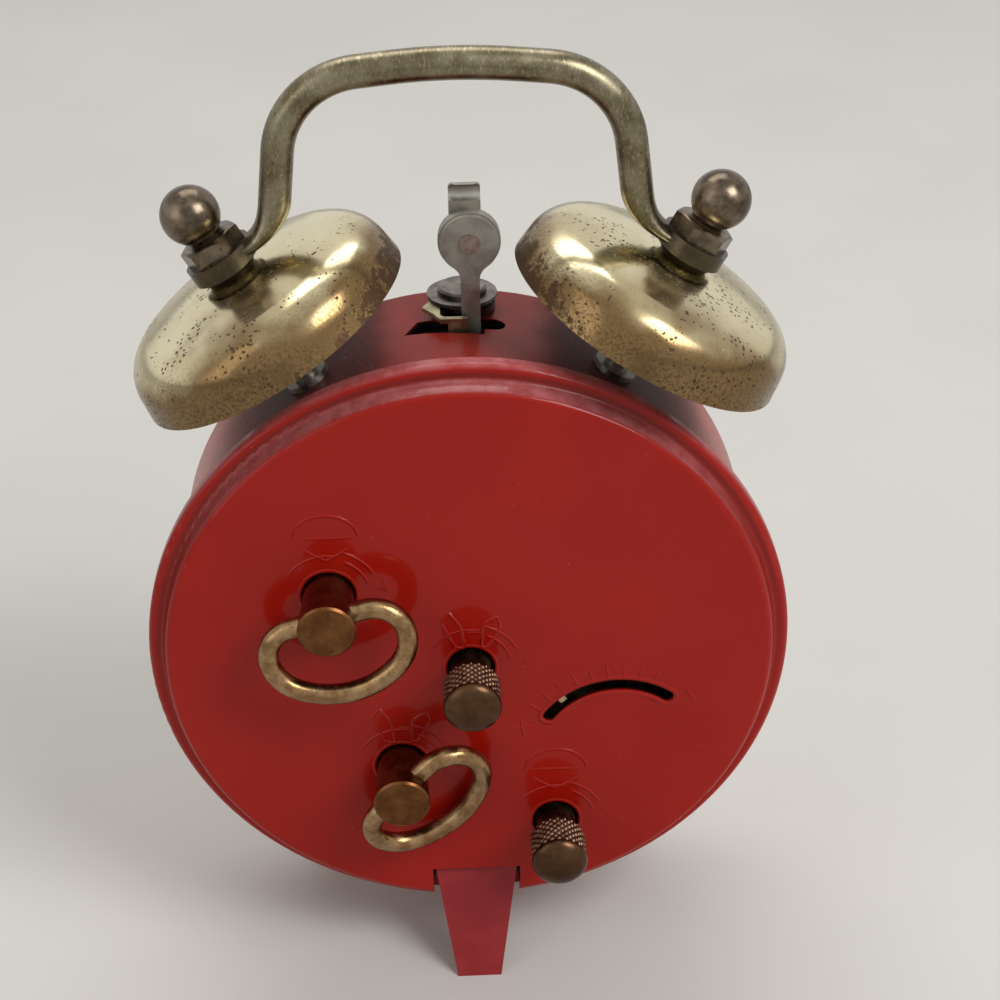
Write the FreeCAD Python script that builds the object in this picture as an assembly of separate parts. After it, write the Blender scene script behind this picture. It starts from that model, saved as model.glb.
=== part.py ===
"""Twin bell alarm clock as an assembly of its real pieces.

Case frame: +Y towards the rear cover, +Z up, X to the left when the rear is
faced, with the zero point on the case axis in the plane of the rear rim.  Every
piece is built there and moved once, as it is written, so that the clock stands
on z = 0.  Sizes are millimetres and degrees.
"""
import FreeCAD, Part
import os
from math import acos, atan2, cos, hypot, pi, radians, sin, sqrt, tan

V = FreeCAD.Vector

# Case
CASE_R = 30.0
CASE_DEPTH = 20.2
SHEET = 0.5
FLANGE_GAP = 0.1
RIM_OVERHANG = 2.0
RIM_LIP = 0.8
RIM_CLEAR = 5.8

# Rear cover
COVER_RISE = 2.9
COVER_EDGE_IN = 1.8
COVER_ROUND = 0.7
COVER_COVE = 0.5
COVER_WALL_LEAN = 0.2
RIM_T = 0.9
RIM_ROUND = 0.7
KEY_HOLE_R = 2.7
KNOB_HOLE_R = 2.45

# Front
BEZEL_DEPTH = 1.8
BEZEL_SKIRT = 2.2
BEZEL_ROUND = 1.3
WINDOW_LAP = 1.8
GLASS_PLAY = 0.75
GLASS_T = 0.8
GLASS_RING_W = 1.0
DIAL_PLAY = 0.55
DIAL_T = 0.4
DIAL_GAP = 2.15
DIAL_FOOT_R = 0.6
DIAL_FOOT_IN = 4.4
DIAL_FOOT_ANGLES = (30.0, 150.0, 270.0)

# Bells and their posts
POST_TILT = 29.7
POST_DEPTH = 8.9
POST_R = 1.25
POST_BODY_R = 2.2
POST_FLANGE_T = 0.6
POST_COLLAR_RISE = 1.0
POST_TAIL = 0.4
POST_THREAD_L = 2.6
POST_NUT_W = 5.0
POST_NUT_T = 2.0
BELL_R = 14.4
BELL_WALL_R = 14.15
BELL_WALL_H = 2.2
BELL_H = 7.2
BELL_CROWN_R = 45.0
BELL_SEAT_R = 3.2
BELL_T = 0.7
BELL_INNER_STEPS = 3
BELL_GAP = 6.15
SPACER_R = 3.0
SPACER_FOOT_R = 2.4
SPACER_T = 0.9
EYE_R = 3.4
EYE_T = 1.7
EYE_NECK_SHARE = 0.6
EDGE_CHAMFER = 0.15
FINIAL_BASE_W = 5.4
FINIAL_BASE_T = 1.75
FINIAL_CHAMFER = 0.35
FINIAL_CHAMFER_W = 0.6
FINIAL_NECK_R = 1.6
FINIAL_FLARE = 0.5
BALL_R = 2.85
BALL_RISE = 4.36

# Handle
HANDLE_WIRE_R = 1.55
HANDLE_TOP = 18.77
HANDLE_CORNER = (6.74, 17.22)
HANDLE_KNEE = (5.05, 2.87)
HANDLE_TOP_BEND = 60.0
HANDLE_CORNER_BEND = 8.4
HANDLE_OVALS = 4

# Winding keys
KEY_END = 9.4
KEY_R = 2.82
KEY_ROOT_R = 2.42
KEY_FOOT = -0.5
KEY_CHAMFER = 0.2
LOOP_WIRE_R = 1.02
LOOP_OUT = 7.0
LOOP_SEAT = 1.3
LOOP_HALF_W = 6.85
LOOP_REACH = 8.3
LOOP_CORNER_R = 3.2
LOOP_SIDE_R = 4.2
ALARM_KEY = (13.6, 8.5)
ALARM_KEY_TURN = 15.0
ALARM_LOOP_FOLD = 5.0
TIME_KEY_X = 7.3
TIME_KEY_IN = 17.6
TIME_KEY_TURN = 48.0
TIME_LOOP_FOLD = -18.0

# Setting knobs
KNOB_R = 2.84
KNOB_START = 5.9
KNURL_L = 4.0
KNURL_COUNT = 24
KNURL_DEEP = 0.16
KNOB_DOME = 0.9
KNOB_NECK_R = 2.0
KNOB_NECK_FROM = 0.3
KNOB_UNDERCUT = 0.3
KNOB_STEP = 0.5
KNOB_TAPER_L = 0.2
KNOB_SEAT = -1.4
KEY_SEAT = -1.7
CENTRE = (0.0, -0.6)
ALARM_SET_X = -8.4
ALARM_SET_IN = 9.7

# Regulator
BALANCE = (-14.7, -11.9)
REG_SLOT_R = 8.57
REG_SLOT_W = 1.25
REG_SLOT_FROM = 36.0
REG_SLOT_TO = 126.0
REG_REST = 50.0
REG_TIP_W = 0.8
REG_T = 0.5
REG_HUB_R = 2.6
REG_TIP_DEEP = 0.6
REG_BOSS_R = 1.0
REG_HEAD_R = 1.5
REG_HEAD_T = 0.35
REG_ARM_GAP = 0.4

# Hammer
HAMMER_X = -1.15
HAMMER_PIVOT_DEEP = 5.5
HAMMER_BEHIND = 2.35
STEM_W = 1.85
STEM_T = 0.6
STEM_TAIL = 1.6
HEAD_RISE = 8.6
HEAD_R = 2.9
HEAD_FLARE_R = 1.6
HEAD_FLARE_TURN = 20.0
WEIGHT_R = 3.05
WEIGHT_T = 1.3
RIVET_R = 1.05
RIVET_PROUD = 0.15
TAB_W = 3.1
TAB_T = 0.5
TAB_SHIFT = 0.35
TAB_TAIL = 1.0
TAB_LIFT = 0.7
TAB_RISE = 1.7
TAB_BOW = 0.7
TAB_CURL = 0.15
TAB_CORNER_R = 0.7
COLLET_R = 1.5
COLLET_L = 0.9

# Slot in the case for the hammer and the stop lever, from the rear face of the hammer's stem
SLOT_FROM_X = -2.4
SLOT_FROM_BEHIND = 1.85
SLOT_TO_X = 5.5
SLOT_TO_BEHIND = 0.75
SLOT_FRONT_X = 4.15
SLOT_AHEAD = 1.75
SLOT_NOSE_X = -4.5
SLOT_NOSE_W = 2.4

# Stop lever and its pivot
STOP_PIVOT_X = -0.35
STOP_PIVOT_AHEAD = 4.55
STOP_BOSS_R = 3.3
STOP_BOSS_T = 0.75
STOP_PLATE_T = 0.45
STOP_HUB_R = 2.7
STOP_WASHER_R = 3.5
STOP_WASHER_T = 0.35
STOP_HEAD_R = 2.45
STOP_HEAD_T = 0.7
STOP_HEAD_ROUND = 0.2
STOP_RIVET_R = 0.9
STOP_CLINCH_R = 1.5
STOP_ELBOW = (3.64, 1.85)
STOP_NOTCH = (1.9, 2.25)
STOP_BARB = (1.1, 1.5)
STOP_NOTCH_R = 0.7
STOP_ARM_W = 0.6
STOP_STEM_GAP = 0.4
STOP_TAB_X = (-0.85, 1.15)
STOP_TAB_DEEP = 2.6

# Feet
FRONT_FOOT_ANGLE = 24.0
FRONT_FOOT_IN = 4.8
FRONT_FOOT_COLLAR_R = 2.4
FRONT_FOOT_COLLAR_T = 0.8
FRONT_FOOT_NECK_R = 1.4
FRONT_FOOT_BEAD_R = 2.1
FRONT_FOOT_BEAD_L = 3.0
FRONT_FOOT_FLARE_L = 0.7
FOOT_STUD_R = 1.0
FOOT_CLINCH_R = 1.6
CLINCH_T = 0.5
CLINCH_GAP = 0.08
REAR_FOOT_TOP_W = 8.7
REAR_FOOT_END_W = 4.6
REAR_FOOT_T = 0.8
REAR_FOOT_OUT = 7.0
REAR_FOOT_TAIL_L = 5.9
REAR_FOOT_BEND = 1.2
FOOT_NOTCH_RISE = 5.6
FOOT_NOTCH_GAP = 0.25
FOOT_BEND_GAP = 0.35

# Movement plates
BACK_PLATE_DEPTH = 0.8
MOTION_ROOM = 6.2
PLATE_T = 0.8
BACK_PLATE_IN = 1.6
FRONT_PLATE_PLAY = 0.9
PILLAR_R = 1.4
PILLAR_END_R = 0.8
PILLAR_IN = 2.0
PILLAR_ANGLES = (78.0, 150.0, 262.0, 340.0)
PILLAR_NUT_W = 3.4
PILLAR_NUT_T = 1.0
LUG_W = 6.0
LUG_REAR = 6.0
LUG_GAP = 0.3
MINUTE_POST_L = 2.25

# Arbors and wheels, whose planes are ahead of the back plate or behind the front plate
RUN = 0.05
ARBOR_R = 0.5
KEY_ARBOR_R = 1.28
CENTRE_ARBOR_R = 0.9
SET_ARBOR_R = 0.8
PIPE_WALL = 0.45
PIVOT_SHARE = 0.9
WHEEL_T = 0.7
PINION_L = 1.6
LEAVES = 6
TOOTH_ABOVE = 0.85
TOOTH_BELOW = 1.1
LEAF_ABOVE = 0.7
LEAF_BELOW = 1.0
LEAF_SHARE = 0.3
TIME_GREAT_TEETH = 54
CENTRE_LEAVES = 9
CENTRE_TEETH = 48
THIRD_TEETH = 45
FOURTH_TEETH = 42
ESCAPE_TEETH = 15
ESCAPE_R = 3.6
THIRD_AT = (150.0, 8.91)
FOURTH_AT = (185.0, 7.65)
ESCAPE_AT = (300.0, 6.48)
TIME_GREAT_GAP = 1.0
ALARM_GREAT_GAP = 2.5
CENTRE_AHEAD = 1.6
THIRD_BEHIND = 3.6
FOURTH_AHEAD = 3.8
ESCAPE_BEHIND = 5.8
ESCAPE_T = 0.6
ESCAPE_DEEP = 0.8
PALLET_SHARE = 0.43
PALLET_SPREAD = 3.8
PALLET_FORK = 3.9
PALLET_GAP = 0.4
PALLET_T = 0.4
PALLET_PIN_R = 0.25
PALLET_PIN_IN = 0.45
PALLET_ARM_W = 0.4
PALLET_ARM_L = 0.9
PALLET_WAIST = (0.8, 0.7)
PALLET_FORK_W = 0.3
BALANCE_R = 4.9
BALANCE_AHEAD = 2.4
BALANCE_T = 0.8
BALANCE_RIM_W = 0.7
ROLLER_R = 1.2
ROLLER_BEHIND = 4.6
CANNON_TEETH = 12
MINUTE_TEETH = 36
MINUTE_LEAVES = 10
HOUR_TEETH = 40
MINUTE_AT = (150.0, 7.5)
MOTION_GAP = 0.2
MOTION_T = 0.5
CANNON_L = 1.1
MINUTE_LEAF_L = 1.2
ALARM_WHEEL_GAP = 0.4
ALARM_TEETH = 60
ALARM_SET_TEETH = 24
ALARM_GREAT_TEETH = 48
ALARM_ESCAPE_FROM = (5.75, -9.7)
ALARM_ESCAPE_TEETH = 18
ALARM_ESCAPE_R = 7.0
VERGE_REACH = 4.4
VERGE_SPREAD = 42.0
VERGE_PIN_R = 0.35
VERGE_PIN_L = 2.8
VERGE_ARM_W = 0.45
VERGE_ARM_T = 0.5
VERGE_ARM_AHEAD = 3.0
ALARM_ESCAPE_DEEP = 0.9
ALARM_ESCAPE_AHEAD = 1.0
RATCHET_TEETH = 12
RATCHET_R = 3.0
RATCHET_DEEP = 0.5
RATCHET_LEAN = 0.12
RATCHET_T = 0.6
CLICK_T = 0.5
CLICK_POINTS = ((0.0, 0.0), (0.5, -0.4), (2.3, 1.6), (1.8, 3.0), (0.9, 2.4))
MAINSPRING_R = 8.6
MAINSPRING_TURNS = 5
MAINSPRING_T = 0.4
MAINSPRING_GAP = 0.6
MAINSPRING_AHEAD = 2.4
HAIRSPRING_START_R = 1.0
HAIRSPRING_R = 3.2
HAIRSPRING_TURNS = 4
HAIRSPRING_T = 0.14
HAIRSPRING_H = 0.4

# Hands
HAND_T = 0.3
HAND_STEP = 0.9
HAND_TAIL = 2.2
HAND_HUB_W = 1.0
HAND_SHOULDER = 0.62
MINUTE_HAND_W = 2.2
HOUR_HAND_W = 3.0
ALARM_HAND_W = 1.6
MINUTE_HAND_L = 21.0
HOUR_HAND_L = 14.5
ALARM_HAND_L = 9.0
MINUTE_HAND_AT = 60.0
HOUR_HAND_AT = 145.0
ALARM_HAND_AT = 270.0

# Lengths worked out from the sizes above
RIM_R = CASE_R + RIM_OVERHANG
GROUND_DROP = RIM_R + RIM_CLEAR
COVER_EDGE_R = RIM_R - COVER_EDGE_IN
CASE_IN_R = CASE_R - SHEET
BEZEL_OUT_R = CASE_IN_R - RUN
BEZEL_IN_R = BEZEL_OUT_R - SHEET
GLASS_R = BEZEL_IN_R - GLASS_PLAY
WINDOW_R = GLASS_R - WINDOW_LAP
DIAL_R = BEZEL_IN_R - DIAL_PLAY
FRONT_PLATE_R = CASE_IN_R - FRONT_PLATE_PLAY
BACK_PLATE_R = FRONT_PLATE_R - BACK_PLATE_IN
PILLAR_RING = BACK_PLATE_R - PILLAR_IN
TIME_KEY = (TIME_KEY_X, TIME_KEY_IN - CASE_R)
ALARM_SET = (ALARM_SET_X, ALARM_SET_IN - CASE_R)
FRONT_PLATE_DEPTH = CASE_DEPTH - MOTION_ROOM
FRONT_FOOT_DEPTH = CASE_DEPTH - FRONT_FOOT_IN
HAMMER_DEPTH = FRONT_PLATE_DEPTH - HAMMER_BEHIND
HAMMER_PIVOT = (HAMMER_X, CASE_R - HAMMER_PIVOT_DEEP)
SLOT_FRONT = HAMMER_DEPTH + SLOT_AHEAD
STOP_PIVOT_DEPTH = HAMMER_DEPTH + STOP_PIVOT_AHEAD
ALARM_ESCAPE = (HAMMER_PIVOT[0] + ALARM_ESCAPE_FROM[0], HAMMER_PIVOT[1] + ALARM_ESCAPE_FROM[1])
HEAD_Z = CASE_R + HEAD_RISE
CLINCH_TOP = CASE_IN_R - CLINCH_GAP
FOOT_NOTCH_TOP = RIM_R - FOOT_NOTCH_RISE
REAR_FOOT_TAIL = FOOT_NOTCH_TOP - REAR_FOOT_TAIL_L
COVER_IN = COVER_RISE - SHEET
BELL_RIM = CASE_R + BELL_GAP
CROWN_CENTRE = (0.0, BELL_H - BELL_CROWN_R)
BELL_SEAT = CROWN_CENTRE[1] + sqrt(BELL_CROWN_R**2 - BELL_SEAT_R**2)
SPACER_FROM = BELL_RIM + BELL_SEAT
EYE_FROM = SPACER_FROM + SPACER_T
EYE_MIDDLE = EYE_FROM + EYE_T / 2
FINIAL_FROM = EYE_FROM + EYE_T
BALL_REACH = FINIAL_FROM + BALL_RISE
POST_TOP = FINIAL_FROM + POST_THREAD_L
CASE_FRONT = -CASE_DEPTH
BEZEL_FRONT = CASE_FRONT - BEZEL_DEPTH
GLASS_FRONT = BEZEL_FRONT + SHEET
GLASS_REAR = GLASS_FRONT + GLASS_T
REAR_FOOT_BEND_Z = FOOT_NOTCH_TOP + FOOT_BEND_GAP
DIAL_FRONT = CASE_FRONT + DIAL_GAP - DIAL_T
DIAL_REAR = DIAL_FRONT + DIAL_T
BACK_PLATE_REAR = -BACK_PLATE_DEPTH
BACK_PLATE_FRONT = BACK_PLATE_REAR - PLATE_T
FRONT_PLATE_REAR = -FRONT_PLATE_DEPTH
FRONT_PLATE_FRONT = FRONT_PLATE_REAR - PLATE_T
CENTRE_Y = BACK_PLATE_FRONT - CENTRE_AHEAD
THIRD_Y = FRONT_PLATE_REAR + THIRD_BEHIND
FOURTH_Y = BACK_PLATE_FRONT - FOURTH_AHEAD
ESCAPE_Y = FRONT_PLATE_REAR + ESCAPE_BEHIND
BALANCE_Y = BACK_PLATE_FRONT - BALANCE_AHEAD
ROLLER_Y = FRONT_PLATE_REAR + ROLLER_BEHIND
VERGE_ARM_Y = BACK_PLATE_FRONT - VERGE_ARM_AHEAD
ALARM_ESCAPE_Y = BACK_PLATE_FRONT - ALARM_ESCAPE_AHEAD
MAINSPRING_REAR = BACK_PLATE_FRONT - MAINSPRING_AHEAD
LUG_TOP = CASE_IN_R - LUG_GAP
KNOB_END = KNOB_START + KNURL_L + KNOB_DOME
FRONT_REACH = max(CASE_DEPTH + BEZEL_DEPTH, POST_DEPTH + BELL_R)
SHIFT_Y = (FRONT_REACH - KNOB_END) / 2
CORNER_MID = 1 - sqrt(0.5)
NODES = {}


def add(name, shape):
    """Keep one finished piece under the name that its file will have."""
    NODES[name] = shape


def outline_edges(points, place):
    """Edges of a closed outline; a pair of points is an arc's middle and end."""
    edges = []
    first = points[0]
    last = first
    for item in list(points[1:]) + [first]:
        if isinstance(item[0], tuple):
            arc = Part.Arc(place(*last), place(*item[0]), place(*item[1]))
            edges.append(arc.toShape())
            last = item[1]
        elif hypot(item[0] - last[0], item[1] - last[1]) > 1e-7:
            edges.append(Part.LineSegment(place(*last), place(*item)).toShape())
            last = item
    return edges


def turned(points, centre=(0.0, 0.0)):
    """Turn a closed (radius, y) outline round an axis along Y through (x, z)."""
    x0, z0 = centre
    edges = outline_edges(points, lambda a, b: V(x0 + a, b, z0))
    return Part.Face(Part.Wire(edges)).revolve(V(x0, 0, z0), V(0, 1, 0), 360)


def turned_up(points):
    """Turn a closed (radius, height) outline round the Z axis."""
    edges = outline_edges(points, lambda a, b: V(a, 0, b))
    return Part.Face(Part.Wire(edges)).revolve(V(0, 0, 0), V(0, 0, 1), 360)


def rod(radius, y_from, y_to, centre=(0.0, 0.0)):
    """Round bar along Y between two planes."""
    low = min(y_from, y_to)
    return Part.makeCylinder(radius, abs(y_to - y_from), V(centre[0], low, centre[1]), V(0, 1, 0))


def ring(outer, inner, y_from, y_to, centre=(0.0, 0.0)):
    """Round bar along Y with a round bore."""
    low = min(y_from, y_to)
    high = max(y_from, y_to)
    return turned([(inner, low), (outer, low), (outer, high), (inner, high)], centre)


def slab(points, y_from, y_to):
    """Flat plate cut to an (x, z) outline."""
    edges = outline_edges(points, lambda a, b: V(a, y_from, b))
    return Part.Face(Part.Wire(edges)).extrude(V(0, y_to - y_from, 0))


def tray(points, z_from, z_to):
    """Level plate cut to an (x, depth) outline."""
    edges = outline_edges(points, lambda a, b: V(a, -b, z_from))
    return Part.Face(Part.Wire(edges)).extrude(V(0, 0, z_to - z_from))


def block(x_from, x_to, y_from, y_to, z_from, z_to):
    """Plain block between three pairs of planes."""
    corner = V(min(x_from, x_to), min(y_from, y_to), min(z_from, z_to))
    return Part.makeBox(abs(x_to - x_from), abs(y_to - y_from), abs(z_to - z_from), corner)


def polar(radius, angle, centre=(0.0, 0.0)):
    """Point (x, z) at a radius and an angle from +X about a centre."""
    return (centre[0] + radius * cos(radians(angle)), centre[1] + radius * sin(radians(angle)))


def beside(place, unit, ahead, aside):
    """Point (x, z) ahead of a place along a unit direction, and aside to its left."""
    return (place[0] + ahead * unit[0] - aside * unit[1], place[1] + ahead * unit[1] + aside * unit[0])


def apart(a, b):
    """Distance between two (x, z) points."""
    return hypot(a[0] - b[0], a[1] - b[1])


def spun(shape, angle, centre=(0.0, 0.0)):
    """Turn a piece about an axis along Y, counter-clockwise seen with +X right and +Z up."""
    copy = shape.copy()
    copy.rotate(V(centre[0], 0, centre[1]), V(0, -1, 0), angle)
    return copy


def hex_bar(width, height):
    """Hexagon bar standing on the XY plane."""
    radius = width / sqrt(3)
    corners = [V(radius * cos(k * pi / 3), radius * sin(k * pi / 3), 0) for k in range(7)]
    return Part.Face(Part.makePolygon(corners)).extrude(V(0, 0, height))


def radial(shape, tilt, depth):
    """Move a piece built up the Z axis on to a radius of the case, tilted from the top."""
    turn = FreeCAD.Rotation(V(0, 1, 0), tilt)
    return shape.transformed(FreeCAD.Placement(V(0, -depth, 0), turn).toMatrix())


def upright(radius, z_from, z_to):
    """Round bar up the Z axis."""
    return Part.makeCylinder(radius, z_to - z_from, V(0, 0, z_from))


def bent_path(corners, bends, place):
    """Open wire of straight runs with an arc of the given radius at each inner corner."""
    edges = []
    start = corners[0]
    for k, bend in enumerate(bends):
        a, b, c = corners[k:k + 3]
        into = ((b[0] - a[0]) / apart(a, b), (b[1] - a[1]) / apart(a, b))
        out = ((c[0] - b[0]) / apart(b, c), (c[1] - b[1]) / apart(b, c))
        cosine = into[0] * out[0] + into[1] * out[1]
        cut = bend * sqrt((1 - cosine) / (1 + cosine))
        begin = (b[0] - into[0] * cut, b[1] - into[1] * cut)
        end = (b[0] + out[0] * cut, b[1] + out[1] * cut)
        inward = (out[0] - into[0], out[1] - into[1])
        size = hypot(*inward)
        reach = hypot(cut, bend)
        middle = (b[0] + inward[0] / size * (reach - bend), b[1] + inward[1] / size * (reach - bend))
        edges.append(Part.LineSegment(place(*start), place(*begin)).toShape())
        edges.append(Part.Arc(place(*begin), place(*middle), place(*end)).toShape())
        start = end
    edges.append(Part.LineSegment(place(*start), place(*corners[-1])).toShape())
    return Part.Wire(edges)


def tube_on(path, radius):
    """Solid round tube along a wire."""
    begin = path.Edges[0]
    at = begin.valueAt(begin.FirstParameter)
    along = begin.tangentAt(begin.FirstParameter)
    section = Part.Wire([Part.Circle(at, along, radius).toShape()])
    return path.makePipeShell([section], True, True)


def gear(teeth, pitch_r, centre, y_from, y_to, phase=0.0):
    """Wheel with one pointed tooth per step."""
    module = 2 * pitch_r / teeth
    step = 360.0 / teeth
    points = []
    for k in range(teeth):
        points.append(polar(pitch_r + TOOTH_ABOVE * module, phase + k * step, centre))
        points.append(polar(pitch_r - TOOTH_BELOW * module, phase + (k + 0.5) * step, centre))
    return slab(points, y_from, y_to)


def pinion(leaves, pitch_r, centre, y_from, y_to, phase):
    """Pinion whose leaves are slim enough to run between a wheel's teeth."""
    module = 2 * pitch_r / leaves
    step = 360.0 / leaves
    root = pitch_r - LEAF_BELOW * module
    tip = pitch_r + LEAF_ABOVE * module
    points = []
    for k in range(leaves):
        middle = phase + k * step
        for radius, share in ((root, -LEAF_SHARE), (tip, 0), (root, LEAF_SHARE)):
            points.append(polar(radius, middle + share * step, centre))
    return slab(points, y_from, y_to)


def bored(shape, radius, centre):
    """The same piece with a hole along Y."""
    return shape.cut(rod(radius, -2 * CASE_DEPTH, 2 * CASE_DEPTH, centre))


def ratchet(teeth, outer, depth, centre, y_from, y_to):
    """Wheel of one-sided teeth."""
    step = 360.0 / teeth
    points = []
    for k in range(teeth):
        points.append(polar(outer, k * step, centre))
        points.append(polar(outer - depth, (k + RATCHET_LEAN) * step, centre))
    return slab(points, y_from, y_to)


def spiral(inner, outer, turns, thick, centre, y_from, y_to, start=0.0, sides=16):
    """Flat strip wound in a spiral, in short straight lengths."""
    count = turns * sides
    inside = []
    outside = []
    for k in range(count + 1):
        radius = inner + (outer - inner) * k / count
        angle = start + 360.0 * k / sides
        inside.append(polar(radius, angle, centre))
        outside.append(polar(radius + thick, angle, centre))
    return slab(inside + outside[::-1], y_from, y_to)


def case_drum():
    """Sheet drum with an outward flange behind and its holes."""
    inner = CASE_IN_R
    flange = RIM_R - SHEET - FLANGE_GAP
    drum = turned([(inner, CASE_FRONT), (CASE_R, CASE_FRONT), (CASE_R, -SHEET),
                   (flange, -SHEET), (flange, 0), (inner, 0)])
    over = 2 * CASE_R
    under = CASE_R / 2
    for side in (-1, 1):
        drum = drum.cut(radial(upright(POST_R + RUN, under, over), side * POST_TILT, POST_DEPTH))
        foot_hole = upright(FOOT_STUD_R + RUN, under, over)
        drum = drum.cut(radial(foot_hole, 180 + side * FRONT_FOOT_ANGLE, FRONT_FOOT_DEPTH))
    nose_r = SLOT_NOSE_W / 2
    nose_x = SLOT_NOSE_X + nose_r
    nose_rear = SLOT_FRONT - SLOT_NOSE_W
    slot = tray([(SLOT_FROM_X, HAMMER_DEPTH - SLOT_FROM_BEHIND), (SLOT_TO_X, HAMMER_DEPTH - SLOT_TO_BEHIND),
                 (SLOT_FRONT_X, SLOT_FRONT), (nose_x, SLOT_FRONT),
                 ((SLOT_NOSE_X, SLOT_FRONT - nose_r), (nose_x, nose_rear)), (SLOT_FROM_X, nose_rear)],
                under, over)
    drum = drum.cut(slot)
    hole = Part.makeCylinder(STOP_RIVET_R + RUN, over - under, V(STOP_PIVOT_X, -STOP_PIVOT_DEPTH, under))
    return drum.cut(hole)


def rear_cover():
    """Pressed cover: raised disc, steep wall, cove, rounded rim and a lip over the drum's flange."""
    edge = COVER_EDGE_R
    rise = COVER_RISE
    foot = edge + COVER_WALL_LEAN
    turn = COVER_ROUND * CORNER_MID
    cove = COVER_COVE * CORNER_MID
    roll = RIM_ROUND * CORNER_MID
    outer = [(0, rise), (edge - COVER_ROUND, rise), ((edge - turn, rise - turn), (edge, rise - COVER_ROUND)),
             (foot, RIM_T + COVER_COVE), ((foot + cove, RIM_T + cove), (foot + COVER_COVE, RIM_T)),
             (RIM_R - RIM_ROUND, RIM_T), ((RIM_R - roll, RIM_T - roll), (RIM_R, RIM_T - RIM_ROUND)),
             (RIM_R, -RIM_LIP)]
    inner = [(RIM_R - SHEET, -RIM_LIP), (RIM_R - SHEET, 0), (foot, 0),
             (edge - SHEET, COVER_IN - COVER_ROUND), (edge - COVER_ROUND, COVER_IN), (0, COVER_IN)]
    cover = turned(outer + inner)
    for centre, radius in ((ALARM_KEY, KEY_HOLE_R), (TIME_KEY, KEY_HOLE_R),
                           (CENTRE, KNOB_HOLE_R), (ALARM_SET, KNOB_HOLE_R)):
        cover = cover.cut(rod(radius, 0, rise + 1, centre))
    cover = cover.cut(arc_slot(REG_SLOT_R, REG_SLOT_W, REG_SLOT_FROM, REG_SLOT_TO, BALANCE, 1, rise + 1))
    half = REAR_FOOT_TOP_W / 2 + FOOT_NOTCH_GAP
    return cover.cut(block(-half, half, -RIM_LIP - 1, rise + 1, -FOOT_NOTCH_TOP, -RIM_R - 1))


def arc_slot(radius, width, start, end, centre, y_from, y_to):
    """Cutter for a slot that follows an arc, with round ends."""
    inner = radius - width / 2
    outer = radius + width / 2
    middle = (start + end) / 2
    tip = polar(radius, end, centre)
    tail = polar(radius, start, centre)
    end_dir = polar(width / 2, end + 90)
    start_dir = polar(width / 2, start - 90)
    points = [polar(inner, start, centre),
              ((tail[0] + start_dir[0], tail[1] + start_dir[1]), polar(outer, start, centre)),
              (polar(outer, middle, centre), polar(outer, end, centre)),
              ((tip[0] + end_dir[0], tip[1] + end_dir[1]), polar(inner, end, centre)),
              (polar(inner, middle, centre), polar(inner, start, centre))]
    return slab(points, y_from, y_to)


def bezel():
    """Rolled front ring that holds the glass and plugs into the drum."""
    out = BEZEL_OUT_R
    front = BEZEL_FRONT
    rear = CASE_FRONT + BEZEL_SKIRT
    inset = BEZEL_ROUND * CORNER_MID
    return turned([(BEZEL_IN_R, rear), (out, rear), (out, front + BEZEL_ROUND),
                   (out - inset, front + inset), (out - BEZEL_ROUND, front),
                   (WINDOW_R, front), (WINDOW_R, GLASS_FRONT), (GLASS_R + 3 * RUN, GLASS_FRONT),
                   (BEZEL_IN_R, GLASS_REAR)])


def glass():
    """Flat glass behind the bezel's edge."""
    return rod(GLASS_R, GLASS_FRONT, GLASS_REAR)


def glass_ring():
    """Spacer ring that keeps the glass off the dial."""
    return ring(GLASS_R, GLASS_R - GLASS_RING_W, GLASS_REAR, DIAL_FRONT)


def dial():
    """Thin dial disc on three feet that stand on the front plate."""
    hole = CENTRE_ARBOR_R + 6 * RUN + 2 * PIPE_WALL
    plate = rod(DIAL_R, DIAL_FRONT, DIAL_REAR).cut(rod(hole, DIAL_FRONT - 1, DIAL_REAR + 1, CENTRE))
    for angle in DIAL_FOOT_ANGLES:
        foot = rod(DIAL_FOOT_R, DIAL_REAR, FRONT_PLATE_FRONT, polar(DIAL_R - DIAL_FOOT_IN, angle))
        plate = plate.fuse(foot)
    return plate


def bell_arcs(inset):
    """Wall line, shoulder arc and crown arc of the bell, moved inwards by inset.

    Gives the rim, the wall's top, the shoulder's centre, the point where the
    shoulder meets the crown, and the crown's radius.
    """
    rim = (BELL_R - inset, 0.0)
    wall = (BELL_WALL_R - inset, BELL_WALL_H)
    lean = apart(rim, wall)
    normal = (-(wall[1] - rim[1]) / lean, (wall[0] - rim[0]) / lean)
    crown_r = BELL_CROWN_R - inset
    arm = (wall[0] - CROWN_CENTRE[0], wall[1] - CROWN_CENTRE[1])
    inward = normal[0] * arm[0] + normal[1] * arm[1]
    shoulder_r = (crown_r**2 - arm[0]**2 - arm[1]**2) / (2 * (inward + crown_r))
    middle = (wall[0] + shoulder_r * normal[0], wall[1] + shoulder_r * normal[1])
    share = crown_r / apart(middle, CROWN_CENTRE)
    top = (CROWN_CENTRE[0] + share * (middle[0] - CROWN_CENTRE[0]),
           CROWN_CENTRE[1] + share * (middle[1] - CROWN_CENTRE[1]))
    return rim, wall, middle, top, crown_r


def on_arc(centre, start, end, share):
    """Point at a share of the way along the short arc from start to end."""
    a = atan2(start[1] - centre[1], start[0] - centre[0])
    b = atan2(end[1] - centre[1], end[0] - centre[0])
    angle = a + share * (b - a)
    radius = apart(centre, start)
    return (centre[0] + radius * cos(angle), centre[1] + radius * sin(angle))


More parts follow.
